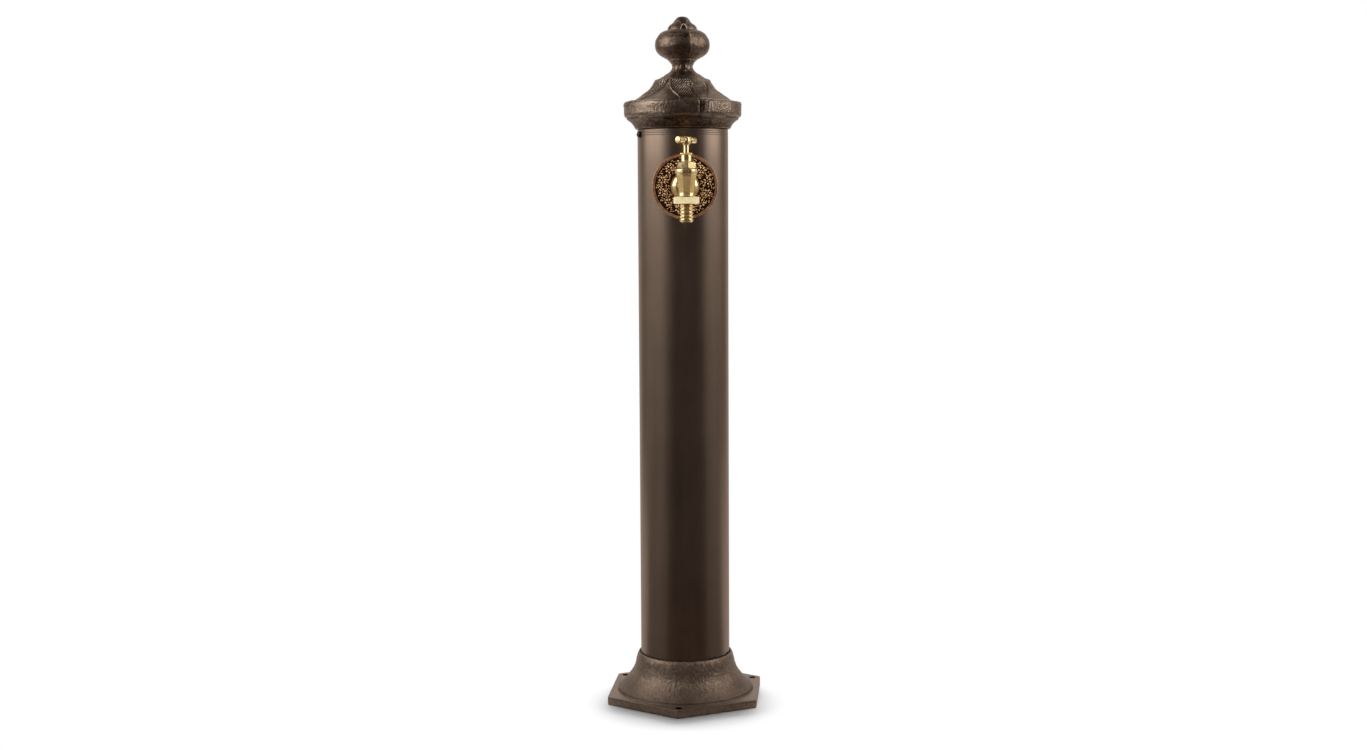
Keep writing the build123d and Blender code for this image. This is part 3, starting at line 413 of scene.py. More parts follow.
def carved(form, tool, operation):
    # a Boolean modifier between two forms, read back as a form
    made = [standing("carving", form), standing("carving", tool)]
    cut = made[0].modifiers.new("cut", "BOOLEAN")
    cut.operation = operation
    cut.solver = "EXACT"
    cut.object = made[1]
    bpy.context.view_layer.update()
    finished = made[0].evaluated_get(bpy.context.evaluated_depsgraph_get())
    result = bmesh.new()
    result.from_mesh(finished.data)
    for piece in made:
        mesh = piece.data
        bpy.data.objects.remove(piece)
        bpy.data.meshes.remove(mesh)
    return result


def swelled(form, rule):
    # moves every point along its normal; rule gives the rise and how light the paint is there, from wear and from
    # painted highlight and shade
    note = form.verts.layers.float.new("relief")
    form.normal_update()
    moves = []
    for vert in form.verts:
        rise, vert[note] = rule(azimuth(vert.co), vert.co.xy.length, vert.co)
        moves.append(vert.normal * rise)
    for vert, move in zip(form.verts, moves):
        vert.co += move
    return form


def apart(angle, centre):
    # how far an angle is from a centre, from -180 to 180
    return (angle - centre + 180) % 360 - 180


def fromNearest(angle, centre, count):
    # the same for the nearest of so many centres round the axis
    return apart(angle * count, centre * count) / count


def hump(value, centre, width):
    share = (value - centre) / width
    return math.exp(-share * share)


def climb(value, low, high):
    return min(1.0, max(0.0, (value - low) / (high - low)))


def ease(value, low, high):
    share = climb(value, low, high)
    return share * share * (3 - 2 * share)


def within(value, low, lowIn, highIn, high):
    return ease(value, low, lowIn) * ease(-value, -high, -highIn)


def sandSkin(point, size, amount):
    # the grain that the mould's sand leaves on a casting
    return noise.fractal(point / size, 0.9, 2.1, 3) * amount


def fromCamera(angle):
    # degrees to the right of the camera's direction, as the photo's marks were read
    return apart(angle, cameraTurn)


cameraTurn = -92.3  # azimuth of the camera round the column, in degrees
seam = {"turn": 17.7, "step": 1.15, "reach": 17.0, "notch": 0.6}


def seamRelief(right):
    # the mould's parting: a notch, then a step that dies away to its right
    off = apart(right, seam["turn"])
    if off > 120 or off < -120:
        off = apart(off, 180) + 2  # the same line on the far side
    if not -6 < off < seam["reach"]:
        return 0
    step = ease(off, -0.5, 0.7) * (1 - max(0, off) / seam["reach"]) ** 1.4
    return seam["step"] * step - seam["notch"] * hump(off, -1.3, 1.1)


def keep(name, form, slot, body, *stands, sharp=40):
    # a finished form becomes a piece on its body, in place of the nodes that it stands for
    bmesh.ops.scale(form, vec=(mm, mm, mm), verts=form.verts)
    piece = standing(name, form)
    mesh = piece.data
    mesh.polygons.foreach_set("use_smooth", [True] * len(mesh.polygons))
    mesh.set_sharp_from_angle(angle=math.radians(sharp))
    mesh.materials.append(finishes[slot])
    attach(piece, body)
    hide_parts(*stands)


# Foot: hexagonal plate and bell in one turned form, whose outer rings are drawn out to the hexagon

halfFlat = math.cos(math.radians(30))  # a hexagon's half width, where its corners reach 1


def hexReach(angle):
    # distance from the centre to the hexagon's outline, with its corners eased
    off = apart(angle, foot["frontCorner"]) % 60 - 30
    straight = foot["cornerRadius"] * halfFlat / math.cos(math.radians(off))
    return straight - 0.01 - foot["cornerEase"] * hump(30 - abs(off), 0, 1.1)


def makeFoot():
    plate = foot["plate"]
    bellFoot = foot["bellFoot"]
    bell = spline([(66.2, 52.6), (67.5, 46.3), (69.3, 40.7), (71.2, 36.5), (73.4, 33.0), (76.8, 28.4),
                   (81.0, 22.8), (85.8, 18.0), (bellFoot - 0.8, 14.3)], 5)
    rim = [(61.2, 59.5), (61.4, 61.3), (61.9, 61.8), (62.9, 61.3), (64.2, 59.2), (65.3, 56.4)]
    under = spline([(85.3, 0), (81.5, 5.4), (73.0, 11.8), (64.0, 17.0), (55.0, 21.0)], 4)
    flat = bellFoot + 0.9
    plateReach = flat + 0.8
    profile = [(55.0, 30.0), (61.2, 30.0)] + rim + bell
    profile += [(bellFoot - 0.2, 13.9), (bellFoot, 13.2), (bellFoot + 0.1, 11.3), (bellFoot + 0.4, 10.7),
                (flat, 10.8), (flat + 0.5, plate)]
    profile += [(plateReach + n, plate) for n in (0.6, 2, 4, 7, 11, 15, 20, 25, 28)]
    profile += [(200, plate), (201, plate), (202, plate - 1), (202, plate - 3.5), (202, plate - 6.5), (202, 0.6),
                (201.5, 0)]
    form = turned(profile + under, foot["steps"], foot["frontCorner"])
    for vert in form.verts:
        radius = vert.co.xy.length
        if radius < plateReach + 0.01 or vert.co.z > plate + 0.3:
            continue
        edge = hexReach(azimuth(vert.co))
        wanted = plateReach + (radius - plateReach) / 30 * (edge - 2 - plateReach)
        if radius > 150:
            wanted = edge + foot["insets"].get(round(radius, 1), 0)
        vert.co.xy *= wanted / radius
    holes = bmesh.new()
    for place in holeSpots:
        joined(holes, rod(40, foot["holeRadius"], 30, moved(*place, 5)))

    def roughCast(angle, radius, point):
        if radius < 61.5 or point.z < 0.3:
            return 0, 0
        onBell = ease(point.z, plate + 1, plate + 4)
        calm = 0.45 + 0.55 * onBell
        scuffs = (hump(point.z, 52, 4.5) * 0.5 + hump(point.z, 15.5, 2.2) * 0.3) * ripple(
            angle * 0.16, point.z * 0.5, 3)
        sag = ripple(angle * 0.03, point.z * 0.05, 9) * 0.3
        dents = ripple(angle * 0.11, point.z * 0.16, 21) * 0.16
        sand = sandSkin(point, 2.4, 1)
        return sand * foot["sand"] * calm + (scuffs + sag + dents) * onBell, sand * 0.5 + scuffs * onBell

    swelled(form, roughCast)
    form = carved(form, holes, "DIFFERENCE")
    keep("footCasting", form, "cast_paint", "column", "base_casting")


# Sealant: a ring in the socket's gap, with the drops that were squeezed out
sealant = {"drops": ((-58.5, 1.7, 5.0), (-51.3, 2.0, 4.2), (-21.6, 1.4, 4.0), (64, 1.2, 5), (151, 1.5, 6))}


def makeSealant():
    profile = rounded([(60.04, 55.0), (61.15, 55.0), (61.17, 60.6), (61.0, 61.6), (60.5, 62.5), (60.04, 62.9)], 0.3)
    form = turned(profile, 360)
    for vert in form.verts:
        if vert.co.z < 60:
            continue
        angle = azimuth(vert.co)
        lift = 0.2 + 0.45 * ripple(angle * 0.2, 0, 5)
        drop = sum(size * hump(apart(angle, place), 0, width * 0.35) for place, size, width in sealant["drops"])
        vert.co.z += max(-0.2, lift) + drop * 0.8
        if vert.co.xy.length > 60.3:
            vert.co.xy *= 1 + drop * 0.011
    keep("jointSealant", form, "black_sealant", "column", "foot_sealant")


# Column tube, with a bevelled top edge, faint turned rings under the cap and its hole for the shank

def makeTube():
    radius = tube["radius"]
    bottom = tube["bottom"]
    top = tube["top"]
    outer = [(radius, bottom), (radius, bottom + 0.5)] + [(radius, bottom + n * 30) for n in range(1, 24)]
    for ring, depth in tube["rings"]:
        outer += [(radius, ring - tube["ringHalf"]), (radius - depth, ring - 0.1), (radius - depth, ring + 0.1),
                  (radius, ring + tube["ringHalf"])]
    outer += [(radius, top - 1.5), (radius - 0.25, top - 1.2), (radius - 1.3, top - 0.3), (radius - 1.4, top)]
    inner = radius - tube["wall"]
    form = turned(outer + [(inner, top), (inner, bottom)], tube["steps"])
    hole = rod(64, tube["shankHole"], 20, moved(0, -60, tube["inlet"]) @ spun(90, "X"))
    form = carved(form, hole, "DIFFERENCE")
    keep("columnTube", form, "tube_paint", "column", "column_tube", sharp=30)


# Cap: turned mouldings, with four hanging leaves on its bell and the mould's parting line.
# Relief is laid out by height and by degrees to the right of the camera.
cap = {"leaves": 4, "leafCentre": 15.0, "leafRise": 0.95, "rim": 0.7, "rimWidth": 0.8, "veinDepth": 0.42,
       "veinPitch": 3.0, "sand": 0.22, "steps": 576,
       "leafWidth": ((836, 47), (828, 43.5), (823, 40.7), (818, 37.5), (814.5, 33), (811.5, 28.3), (807.4, 22.3),
                     (804.8, 19), (802, 18.5), (799.8, 19), (799.1, 16.5), (798, 12.1), (794, 7), (793, 0))}


def leafHalf(height):
    # half the leaf's width in degrees at that height
    table = cap["leafWidth"]
    for (upper, wide), (lower, narrow) in zip(table, table[1:]):
        if lower <= height <= upper:
            return narrow + (wide - narrow) * (height - lower) / (upper - lower)
    return 0


def leafRelief(right, radius, height):
    # rise and paint tone of the leaf: a thin rolled rim, a dip behind it, slanting veins and a curl; rims, veins and
    # curl are lighter, as wear and painted highlight, and the dip and a line along the leaf's edge darker, as painted
    # shade
    half = leafHalf(height)
    if half <= 0:
        return 0, 0
    off = fromNearest(right, cap["leafCentre"], cap["leaves"])
    degree = radius * math.pi / 180
    inside = (half - abs(off)) * degree
    across = off * degree
    body = ease(inside, -0.7, 0.7)
    slant = height + abs(across) * 0.95
    onVeins = ease(inside, 2.4, 4.5) * ease(height, 806, 811) * ease(abs(across), 1.0, 3.0)
    vein = math.cos(slant * math.tau / cap["veinPitch"]) * onVeins
    fall = hump(inside, 4.2, 2.2) * 0.4
    over = height - 822.3
    curl = hump(math.hypot(across + 0.4, over), 3.3, 0.7) * ease(-across - over * 0.6, -3.2, -1.5)
    rib = hump(across, 1.0, 1.1) * ease(-height, -819, -814) * ease(height, 800, 806)
    rim = hump(inside, 1.3, cap["rimWidth"]) * ease(height, 802, 811)
    rise = body * (cap["leafRise"] - fall + cap["veinDepth"] * vein + 0.3 * rib + 0.7 * curl + cap["rim"] * rim)
    # lighter rims, veins and curl are wear and painted highlight; the darker dip and edge line are painted shade
    wearAndPaintedLight = body * (0.75 * rim + 1.3 * vein + 0.7 * curl + 0.2 * rib - fall) - 0.5 * hump(inside, -0.9, 0.8)
    upTo = ease(-height, -829.4, -827.6)
    return rise * upTo, wearAndPaintedLight * upTo


def bandRelief(right, height):
    # rough marks on the cornice band: a dark strip of painted shade in the parting's shallow groove, streaks beyond
    # it, and finer marks
    onBand = within(height, 782.5, 785, 797, 799.5)
    strip = within(right, 15.6, 17.0, 20.2, 21.2)
    streaks = ripple(right * 1.1, height * 0.06, 4) * 0.9 * within(right, 20.3, 21, 29, 34)
    fine = ripple(right * 1.7, height * 0.1, 8) * 0.5 * within(right, -36, -31, -1, 3)
    fine *= within(height, 784.5, 786, 793.5, 795.5)
    speckle = ripple(right * 1.2, height * 0.7, 13) * 0.6 * within(right, 32, 36, 49, 54)
    rise = (0.7 * streaks - 0.6 * strip + 0.5 * fine + speckle) * onBand
    return rise, (1.2 * streaks - 1.1 * strip + fine + speckle) * onBand


def makeCap():
    bell = spline([(61.5, 804.7), (57.6, 807.1), (53.4, 810.1), (49.7, 812.9), (46.1, 815.5), (43.4, 818.1),
                   (41.2, 820.7), (39.4, 823.3), (37.8, 825.9), (36.9, 828.0)], 6)
    profile = [(57.0, 745.5), (57.0, 765.5), (62.3, 765.5), (62.7, 765.9)]
    profile += spline([(63.3, 767.0), (64.3, 768.9), (65.8, 771.2), (67.9, 773.7), (70.6, 776.1),
                       (73.4, 777.8)], 4)
    profile += rounded([(73.4, 777.8), (73.9, 778.0), (73.95, 780.3), (75.0, 780.6)], 0.3)[1:]
    profile += spline([(75.0, 780.6), (76.3, 781.7), (77.2, 783.0), (77.5, 784.2)], 4)
    profile += [(77.6, 784.2 + n * 0.8) for n in range(1, 15)]
    profile += spline([(77.55, 796.2), (77.3, 797.8), (76.6, 799.1), (75.4, 799.9)], 4)
    profile += [(74.3, 800.05), (73.5, 800.5), (72.7, 801.4), (71.8, 802.0), (70.9, 801.9), (70.1, 801.1),
                (69.2, 801.1), (67.0, 802.1), (65.2, 802.8), (64.2, 803.2), (63.2, 803.3), (62.4, 804.0)] + bell
    profile += [(36.6, 829.2), (35.8, 829.9), (33.4, 829.9), (20.0, 829.9), (4.5, 829.9), (4.5, 821.9),
                (26.0, 821.9), (33.0, 815.8), (44.0, 806.5), (56.0, 797.9), (68.0, 793.5), (68.0, 783.8),
                (52.0, 771.5), (52.0, 745.5)]
    form = turned(profile, cap["steps"], seam["turn"] + cameraTurn)

    def skin(angle, radius, point):
        height = point.z
        inner = height < 822 and radius < 35 or (radius < 68.1 and 783 < height < 797)
        if radius < 36.7 and height > 829 or height < 766 or radius < 57.5 and height < 800 or inner or radius < 34:
            return 0, 0
        right = fromCamera(angle)
        onSeam = ease(height, 768, 774) * (0.4 + 0.6 * within(height, 780, 784, 797, 801))
        waves = ripple(right * 0.05, height * 0.09, 2) * 0.35
        scratch = ripple(right * 0.12, height * 0.9, 31) * 0.4 * ease(-height, -790, -784)
        leaf, leafWearAndPaintedLight = leafRelief(right, radius, height)
        band, bandWearAndShade = bandRelief(right, height)
        parting = seamRelief(right) * onSeam * 0.8
        ground = -cap["leafRise"] * within(height, 799.8, 802, 828.5, 829.8)
        onLeaf = ease(height, 792, 794)
        # painted highlight on the ledge bead's top and painted shade in the groove behind it
        line = hump(height, 801.9, 0.6) * ease(radius, 70, 71) * 2.0 - hump(radius, 68.8, 1.1) * 1.2 * onLeaf
        # painted shade on the cap's lower cove
        coveShade = ease(-height, -781, -777) * 0.75
        # painted light: the cap's upper part is lighter round the left of the camera's direction
        leftLight = hump(right, -32, 18) * onLeaf * 0.35
        sand = sandSkin(point, 2.2, 1)
        rise = leaf * onLeaf + ground + band + parting + scratch * 0.7 + waves + sand * cap["sand"]
        wearAndPaintedLight = leafWearAndPaintedLight * onLeaf + bandWearAndShade + parting * 0.3 + scratch + waves + sand * 0.6 + line - coveShade
        return rise, wearAndPaintedLight + leftLight

    swelled(form, skin)
    keep("capCasting", form, "cast_paint", "column", "cap_casting")


# Finial: flared foot, rough neck, flattened ball with its parting line, and a bud of five petals
finial = {"base": 829.9, "steps": 432, "sand": 0.16, "petals": 5, "petalTurn": -29.7, "lancetTurn": 6.3,
          "spots": ((-30.4, 844.1, 9, 1.9, 0.6), (12.5, 841.4, 7, 1.6, 0.55), (37.1, 845.8, 7, 1.8, 0.5),
                    (9.0, 834.4, 4, 2.2, 0.6), (-8.0, 848.5, 6, 1.3, 0.4), (24.0, 850.0, 6, 1.3, 0.4))}


def budRelief(right, radius, height):
    # big petals with raised rims, and a small hollow lancet in front of each gap; the rims and a line at the bud's
    # base are painted highlights, the gaps and the lancets' hollows painted shade
    degree = max(3, radius) * math.pi / 180
    petal = abs(fromNearest(right, finial["petalTurn"], finial["petals"]))
    inPetal = (35 * math.sqrt(1 - climb(height, 893.5, 907) ** 1.8) - petal) * degree
    rim = hump(inPetal, 0.9, 0.6)
    second = hump(inPetal, 3.3, 0.5) * 0.5
    rise = 0.4 * ease(inPetal, -0.4, 0.5) + 0.55 * rim + 0.3 * second
    wearAndPaintedLight = 1.5 * rim + 0.9 * second - 0.8 * hump(inPetal, -0.3, 0.6) - 0.35
    lancet = abs(fromNearest(right, finial["lancetTurn"], finial["petals"]))
    inLancet = (15 * math.sqrt(1 - climb(height, 892.5, 901.5) ** 1.5) - lancet) * degree
    onLancet = ease(inLancet, -0.5, 0.1)
    edge = hump(inLancet, 0.5, 0.5)
    rise = rise * (1 - onLancet) + onLancet * (0.95 * edge - 0.35 * (1 - edge))
    wearAndPaintedLight = wearAndPaintedLight * (1 - onLancet) + onLancet * (1.4 * edge - 1.2 * (1 - edge))
    onBud = within(height, 893.8, 895, 906, 908.5)
    slim = 1 - 0.75 * ease(height, 898, 904)  # the bud narrows faster near its tip
    return rise * onBud * slim, wearAndPaintedLight * onBud + 0.5 * hump(height, 895, 0.7)


def makeFinial():
    base = finial["base"]
    neck = spline([(26.7, 833.8), (22.8, 836.4), (18.4, 839.0), (15.7, 841.6), (14.2, 844.2), (13.6, 847.0),
                   (14.1, 849.6), (15.6, 852.2), (17.7, 854.6)], 6)
    ball = spline([(20.2, 856.6), (25.9, 859.6), (30.3, 862.4), (33.4, 866.0), (35.4, 870.2), (36.0, 874.4),
                   (35.7, 879.0), (34.8, 882.2), (33.0, 885.3), (30.8, 888.5), (27.9, 891.1), (24.0, 893.2),
                   (21.0, 894.1)], 6)
    bud = spline([(19.4, 894.9), (18.7, 896.6), (17.8, 898.4), (16.6, 900.0), (14.6, 901.8), (12.2, 903.8),
                  (10.4, 906.2), (8.6, 908.8), (6.2, 911.0), (3.4, 912.0), (0, 912.2)], 7)
    collar = rounded([(17.7, 854.6), (18.9, 854.9), (19.2, 855.9), (18.8, 856.4), (20.2, 856.6)], 0.4)[1:-1]
    profile = [(0, base), (33.0, base), (32.8, base + 0.6), (31.4, base + 1.4), (29.4, base + 2.0),
               (28.6, base + 3.1), (27.9, base + 3.2)] + neck + collar + ball
    form = turned(profile + [(20.2, 894.0), (19.9, 894.3)] + bud, finial["steps"], seam["turn"] + cameraTurn)

    def skin(angle, radius, point):
        if point.z < base + 0.3:
            return 0, 0
        right = fromCamera(angle)
        height = point.z
        onBall = within(height, 857, 863, 889, 893)
        onNeck = within(height, 832, 836, 853, 856)
        rough = ripple(right * 0.07, height * 0.28, 6) * 0.7
        spots = sum(rise * hump(right, place, wide) * hump(height, level, tall)
                    for place, level, wide, tall, rise in finial["spots"])
        diamond = ease(3.6 - abs(height - 885) - abs(right - 5) * 0.35, -0.4, 0.6)
        wrinkles = ripple(right * 0.3, height * 0.09, 15) * 0.45 * ease(height, 876, 884)
        wrinkles *= within(right, -6, 0, 12, 16)
        sand = sandSkin(point, 2.0, 1) * ease(radius, 0.5, 4) * (1 - 0.6 * ease(height, 893, 895))
        parting = seamRelief(right) * (onBall + 0.3 * onNeck)
        bud, budWearAndPaintedLight = budRelief(right, radius, height)
        collarHighlight = hump(height, 855.4, 0.8)
        rise = ((rough * 0.9 + spots) * onNeck + (wrinkles - 0.4 * diamond + rough * 0.3) * onBall + parting
                + sand * finial["sand"] + bud * ease(radius, 1, 6))
        # the collar's ring and the neck's spots are lighter as painted highlight, and the dent on the ball's top
        # darker as painted shade
        wearAndPaintedLight = ((rough + spots * 1.6) * onNeck + (wrinkles - diamond * 0.7 + rough * 0.5) * onBall
                + parting * 0.3 + sand * 0.6 + budWearAndPaintedLight + collarHighlight * 0.9 - onBall * 0.3)
        return rise, wearAndPaintedLight

    swelled(form, skin)
    keep("finialCasting", form, "cast_paint", "column", "finial")


# Cap screws: domed socket-head screws on one line through the column
capScrew = {"height": 758.0, "turn": 18.0, "head": 4.5, "headHeight": 4.0, "shank": 2.5, "reach": 10.0,
            "socket": 1.6}


def makeCapScrews():
    both = bmesh.new()
    head = capScrew["head"]
    high = capScrew["headHeight"]
    shank = capScrew["shank"]
    reach = capScrew["reach"]
    dome = arcRun((head, 0.9), (1.4, high), -0.75, 8)
    profile = [(0, -reach), (shank, -reach), (shank, 0), (head - 0.2, 0)] + dome + [(0, high)]
    for turn in (capScrew["turn"], capScrew["turn"] + 180):
        form = carved(turned(profile, 48), rod(6, capScrew["socket"], 4, moved(0, 0, 4)), "DIFFERENCE")
        placed(form, spun(90, "Y"), moved(60, 0, 0), spun(turn, "Z"), moved(0, 0, capScrew["height"]))
        joined(both, form)
    keep("capScrews", both, "black_steel", "column", "cap_screws")


# Rosette: a coppered plate with a broad rim and a ring of small flowers among leaves
rosette = {"field": 63.0, "flowers": 12, "flowerRing": 29.8, "flowerStart": 43.7, "petals": 6,
           "petalRing": 3.7, "petal": (1.7, 1.25, 1.9), "leaf": (1.5, 0.7, 1.6), "fill": 190, "fillFrom": 20.6,
           "fillTo": 37.2, "flowerRoom": 5.6, "leafRoom": 1.75, "tubeRadius": 60.06, "seed": 7}
facingOut = spun(90, "X")  # turns local +Z to the front, -Y
atInlet = moved(0, 0, tube["inlet"])


def bead(form, x, y, height, sizes, turn=0.0, tilt=0.0):
    # one small swelling on the rosette's field
    matrix = (moved(x, y, height) @ Matrix.Rotation(turn, 4, "Z") @ Matrix.Rotation(tilt, 4, "Y")
              @ Matrix.Diagonal((*sizes, 1)))
    bmesh.ops.create_uvsphere(form, u_segments=10, v_segments=6, radius=1, matrix=matrix)


def makeFlower(cx, cy, shake):
    form = bmesh.new()
    field = rosette["field"]
    spin = shake.uniform(0, math.tau)
    for petal in range(rosette["petals"]):
        way = spin + petal * math.tau / rosette["petals"] + shake.uniform(-0.14, 0.14)
        reach = rosette["petalRing"] + shake.uniform(-0.35, 0.35)
        bead(form, cx + reach * math.cos(way), cy + reach * math.sin(way), field + 0.6, rosette["petal"],
             way + shake.uniform(-0.3, 0.3), -0.4)
        if shake.random() < 0.7:
            bead(form, cx + (reach + 1.7) * math.cos(way + 0.5), cy + (reach + 1.7) * math.sin(way + 0.5),
                 field + 0.3, (0.75, 0.75, 1.4))
    bead(form, cx, cy, field - 0.1, (0.9, 0.9, 1.2))
    return form


def makeRosette():
    field = rosette["field"]
    rim = [(37.5, 62.7), (38.3, 62.5), (38.7, 63.2), (39.0, 64.3), (39.6, 64.75), (40.6, 64.85), (41.6, 65.0),
           (42.2, 64.7), (42.5, 63.9)]
    profile = [(10.98, 0), (10.98, field), (18.0, field)] + [(20 + n * 2.0, field) for n in range(9)]
    profile += spline(rim, 4) + [(42.5, 60.0), (42.5, 0), (39.5, 0), (39.5, 60.9), (20.0, 60.9), (20.0, 0)]
    form = turned(profile, 192)
    for vert in form.verts:
        if vert.co.z < 1:
            vert.co.z = math.sqrt(rosette["tubeRadius"] ** 2 - vert.co.x ** 2)
        elif vert.co.z > 62.4:
            vert.co.z += sandSkin(vert.co, 2.0, 0.16)
    shake = random.Random(rosette["seed"])
    centres = []
    for number in range(rosette["flowers"]):
        centre = polar(rosette["flowerRing"], rosette["flowerStart"] + number * 360 / rosette["flowers"])
        centres.append(centre)
        joined(form, makeFlower(*centre, shake))
    leaves = bmesh.new()
    laid = []
    for attempt in range(rosette["fill"] * 12):
        if len(laid) == rosette["fill"]:
            break
        angle = shake.uniform(0, math.tau)
        reach = shake.uniform(rosette["fillFrom"], rosette["fillTo"])
        x = reach * math.cos(angle)
        y = reach * math.sin(angle)
        if any(math.hypot(x - px, y - py) < rosette["flowerRoom"] for px, py in centres):
            continue
        if any(math.hypot(x - px, y - py) < rosette["leafRoom"] for px, py in laid):
            continue
        laid.append((x, y))
        size = shake.uniform(0.8, 1.15)
        sizes = [part * size for part in rosette["leaf"]]
        bead(leaves, x, y, field + shake.uniform(0, 0.5), sizes, shake.uniform(0, math.pi))
    joined(form, leaves)
    placed(form, facingOut, atInlet)
    keep("rosettePlate", form, "copper_patina", "column", "rosette_plate", sharp=60)


# Flange between the rosette and the tap
flange = {"radius": 19.0, "back": 63.0, "front": 73.0, "nose": 12.6, "bore": 10.53}


def makeFlange():
    radius = flange["radius"]
    back = flange["back"]
    dome = arcRun((radius, back + 1.5), (flange["nose"], flange["front"]), -0.9, 12)
    profile = [(flange["bore"], back), (radius - 0.3, back), (radius, back + 0.4)] + dome
    form = turned(profile + [(flange["bore"], flange["front"])], 128)
    keep("wallFlange", placed(form, facingOut, atInlet), "polished_brass", "column", "wall_flange")


# Tap body: barrel with collar, shoulder and shank to the back, bored for the valve and the water
tap = {"y": -104.0}
atSpindle = moved(0, tap["y"], 0)


def keepTurned(name, form, body, node, sharp):
    # a brass piece that was turned round the spindle's axis
    keep(name, placed(form, atSpindle), "polished_brass", body, node, sharp=sharp)


def makeTapBody():
    side = spline([(12.75, 702.4), (12.35, 699.4), (11.7, 695.6), (11.05, 691.6), (10.45, 687.6), (9.98, 683.6),
                   (9.85, 680.6), (10.3, 678.2), (11.6, 676.3), (12.3, 675.8)], 5)
    outer = (rounded([(13.2, 672.3), (13.2, 675.7), (12.3, 675.8)], 0.2)[:-1] + side[::-1]
             + rounded([(12.75, 702.4), (12.8, 703.8), (13.85, 704.6), (13.95, 707.5), (13.9, 710.3), (13.2, 711.0),
                        (11.46, 711.0)], 0.45)[1:-1])
    bore = [(11.46, 711.0), (11.46, 705.0), (10.4, 705.0), (10.4, 697.5), (8.9, 689.5), (8.0, 682.5), (8.0, 672.3)]
    barrel = placed(turned(outer + bore, 128), atSpindle)
    shoulder = rounded([(10.48, 73.0), (12.5, 73.0), (12.5, 76.0), (10.4, 76.3), (9.4, 78.0), (9.3, 84.0),
                        (9.8, 88.5), (11.0, 93.0)], 0.5)
    neck = turned([(7.0, 38.0), (10.4, 38.0), (10.48, 38.4)] + shoulder + [(7.0, 93.3)], 96)
    neck = placed(neck, facingOut, atInlet)
    form = carved(barrel, neck, "UNION")
    duct = turned([(0, 688), (4.8, 688), (4.8, 695.0), (5.6, 695.0), (6.4, 694.2), (6.4, 684.5), (4.0, 682.2),
                   (0, 681.6)], 48)
    keep("tapBody", joined(form, placed(duct, atSpindle)), "polished_brass", "column", "tap_body", sharp=32)


# Bonnet: chamfered hexagon with the gland's neck
bonnet = {"turn": 8.0, "flats": 22.5, "bottom": 711.7, "top": 719.8, "neck": 6.5, "neckTop": 728.6, "thread": 11.4}


def makeBonnet():
    bottom = bonnet["bottom"]
    top = bonnet["top"]
    radius = bonnet["neck"]
    neckTop = bonnet["neckTop"]
    corner = bonnet["flats"] / 2 / halfFlat
    hexagon = rod(6, corner, top - bottom, moved(0, 0, (bottom + top) / 2) @ spun(bonnet["turn"], "Z"))
    upright = [edge for edge in hexagon.edges if abs(edge.verts[0].co.z - edge.verts[1].co.z) > 1]
    bmesh.ops.bevel(hexagon, geom=upright, offset=0.35, segments=3, profile=0.5, affect="EDGES", material=-1)
    dish = turned([(0, bottom), (11.7, bottom), (12.6, bottom + 0.7), (13.4, bottom + 1.6), (13.4, top - 2.6),
                   (12.6, top - 1.3), (11.4, top - 0.45), (10.0, top), (0, top)], 96)
    hexagon = carved(hexagon, dish, "INTERSECT")
    neck = turned(rounded([(0, 719.0), (8.6, 719.0), (8.4, 719.9), (7.0, 720.5), (radius, 721.6), (radius, 728.0),
                           (radius - 0.3, neckTop)], 0.5) + [(5.0, neckTop), (5.0, 722.0), (0, 722.0)], 96)
    thread = turned([(0, 712.5), (bonnet["thread"], 712.5), (bonnet["thread"], 706.2), (10.8, 705.5), (0, 705.5)], 96)
    form = carved(carved(hexagon, neck, "UNION"), thread, "UNION")
    bore = turned([(0, 700), (4.55, 700), (4.55, 719.0), (3.35, 720.5), (3.35, 740), (0, 740)], 48)
    form = carved(form, bore, "DIFFERENCE")
    keepTurned("bonnetHex", form, "column", "bonnet", 28)


# Gland nut: a flared ring with a fine straight knurl
gland = {"radius": 7.7, "bottom": 728.6, "top": 731.4, "bore": 3.35, "teeth": 40, "depth": 0.22}


def notched(vert, depth, wave):
    # draws a point of a knurl in towards the axis
    vert.co.xy *= 1 - depth / vert.co.xy.length * (0.5 + 0.5 * wave)


def makeGland():
    bottom = gland["bottom"]
    top = gland["top"]
    outer = rounded([(4.95, 725.6), (4.95, bottom), (6.9, bottom), (gland["radius"], bottom + 0.8),
                     (gland["radius"], top - 0.7), (6.6, top), (gland["bore"], top)], 0.3)
    form = turned([(gland["bore"], 725.6)] + outer, gland["teeth"] * 8)
    for vert in form.verts:
        if vert.co.xy.length > 7.3:
            notched(vert, gland["depth"], math.cos(math.atan2(vert.co.y, vert.co.x) * gland["teeth"]))
    keepTurned("glandNut", form, "column", "gland_nut", 50)


# Spindle and tee handle
spindle = {"stem": 3.3, "thread": 4.5, "pitch": 1.25, "foot": 700.0, "threadTop": 714.5}


def makeSpindle():
    low = spindle["foot"]
    stem = spindle["stem"]
    profile = [(0, low + 5.1), (3.0, low + 5.1), (3.0, low), (4.1, low)]
    height = low + 0.4
    while height < spindle["threadTop"] - 1.0:
        profile += [(spindle["thread"], height + 0.25), (spindle["thread"], height + 0.6), (4.0, height + 1.0)]
        height += spindle["pitch"]
    profile += [(stem, spindle["threadTop"] + 1.0), (stem, 741.0), (2.6, 741.0), (2.6, 747.0), (0, 747.0)]
    keepTurned("spindleStem", turned(profile, 64), "spindle", "spindle", 30)


handle = {"turn": 35.0, "height": 747.3, "length": 38.94, "end": 4.5, "endLength": 12.0, "waist": 3.3, "hub": 5.2,
          "hubTop": 751.0}


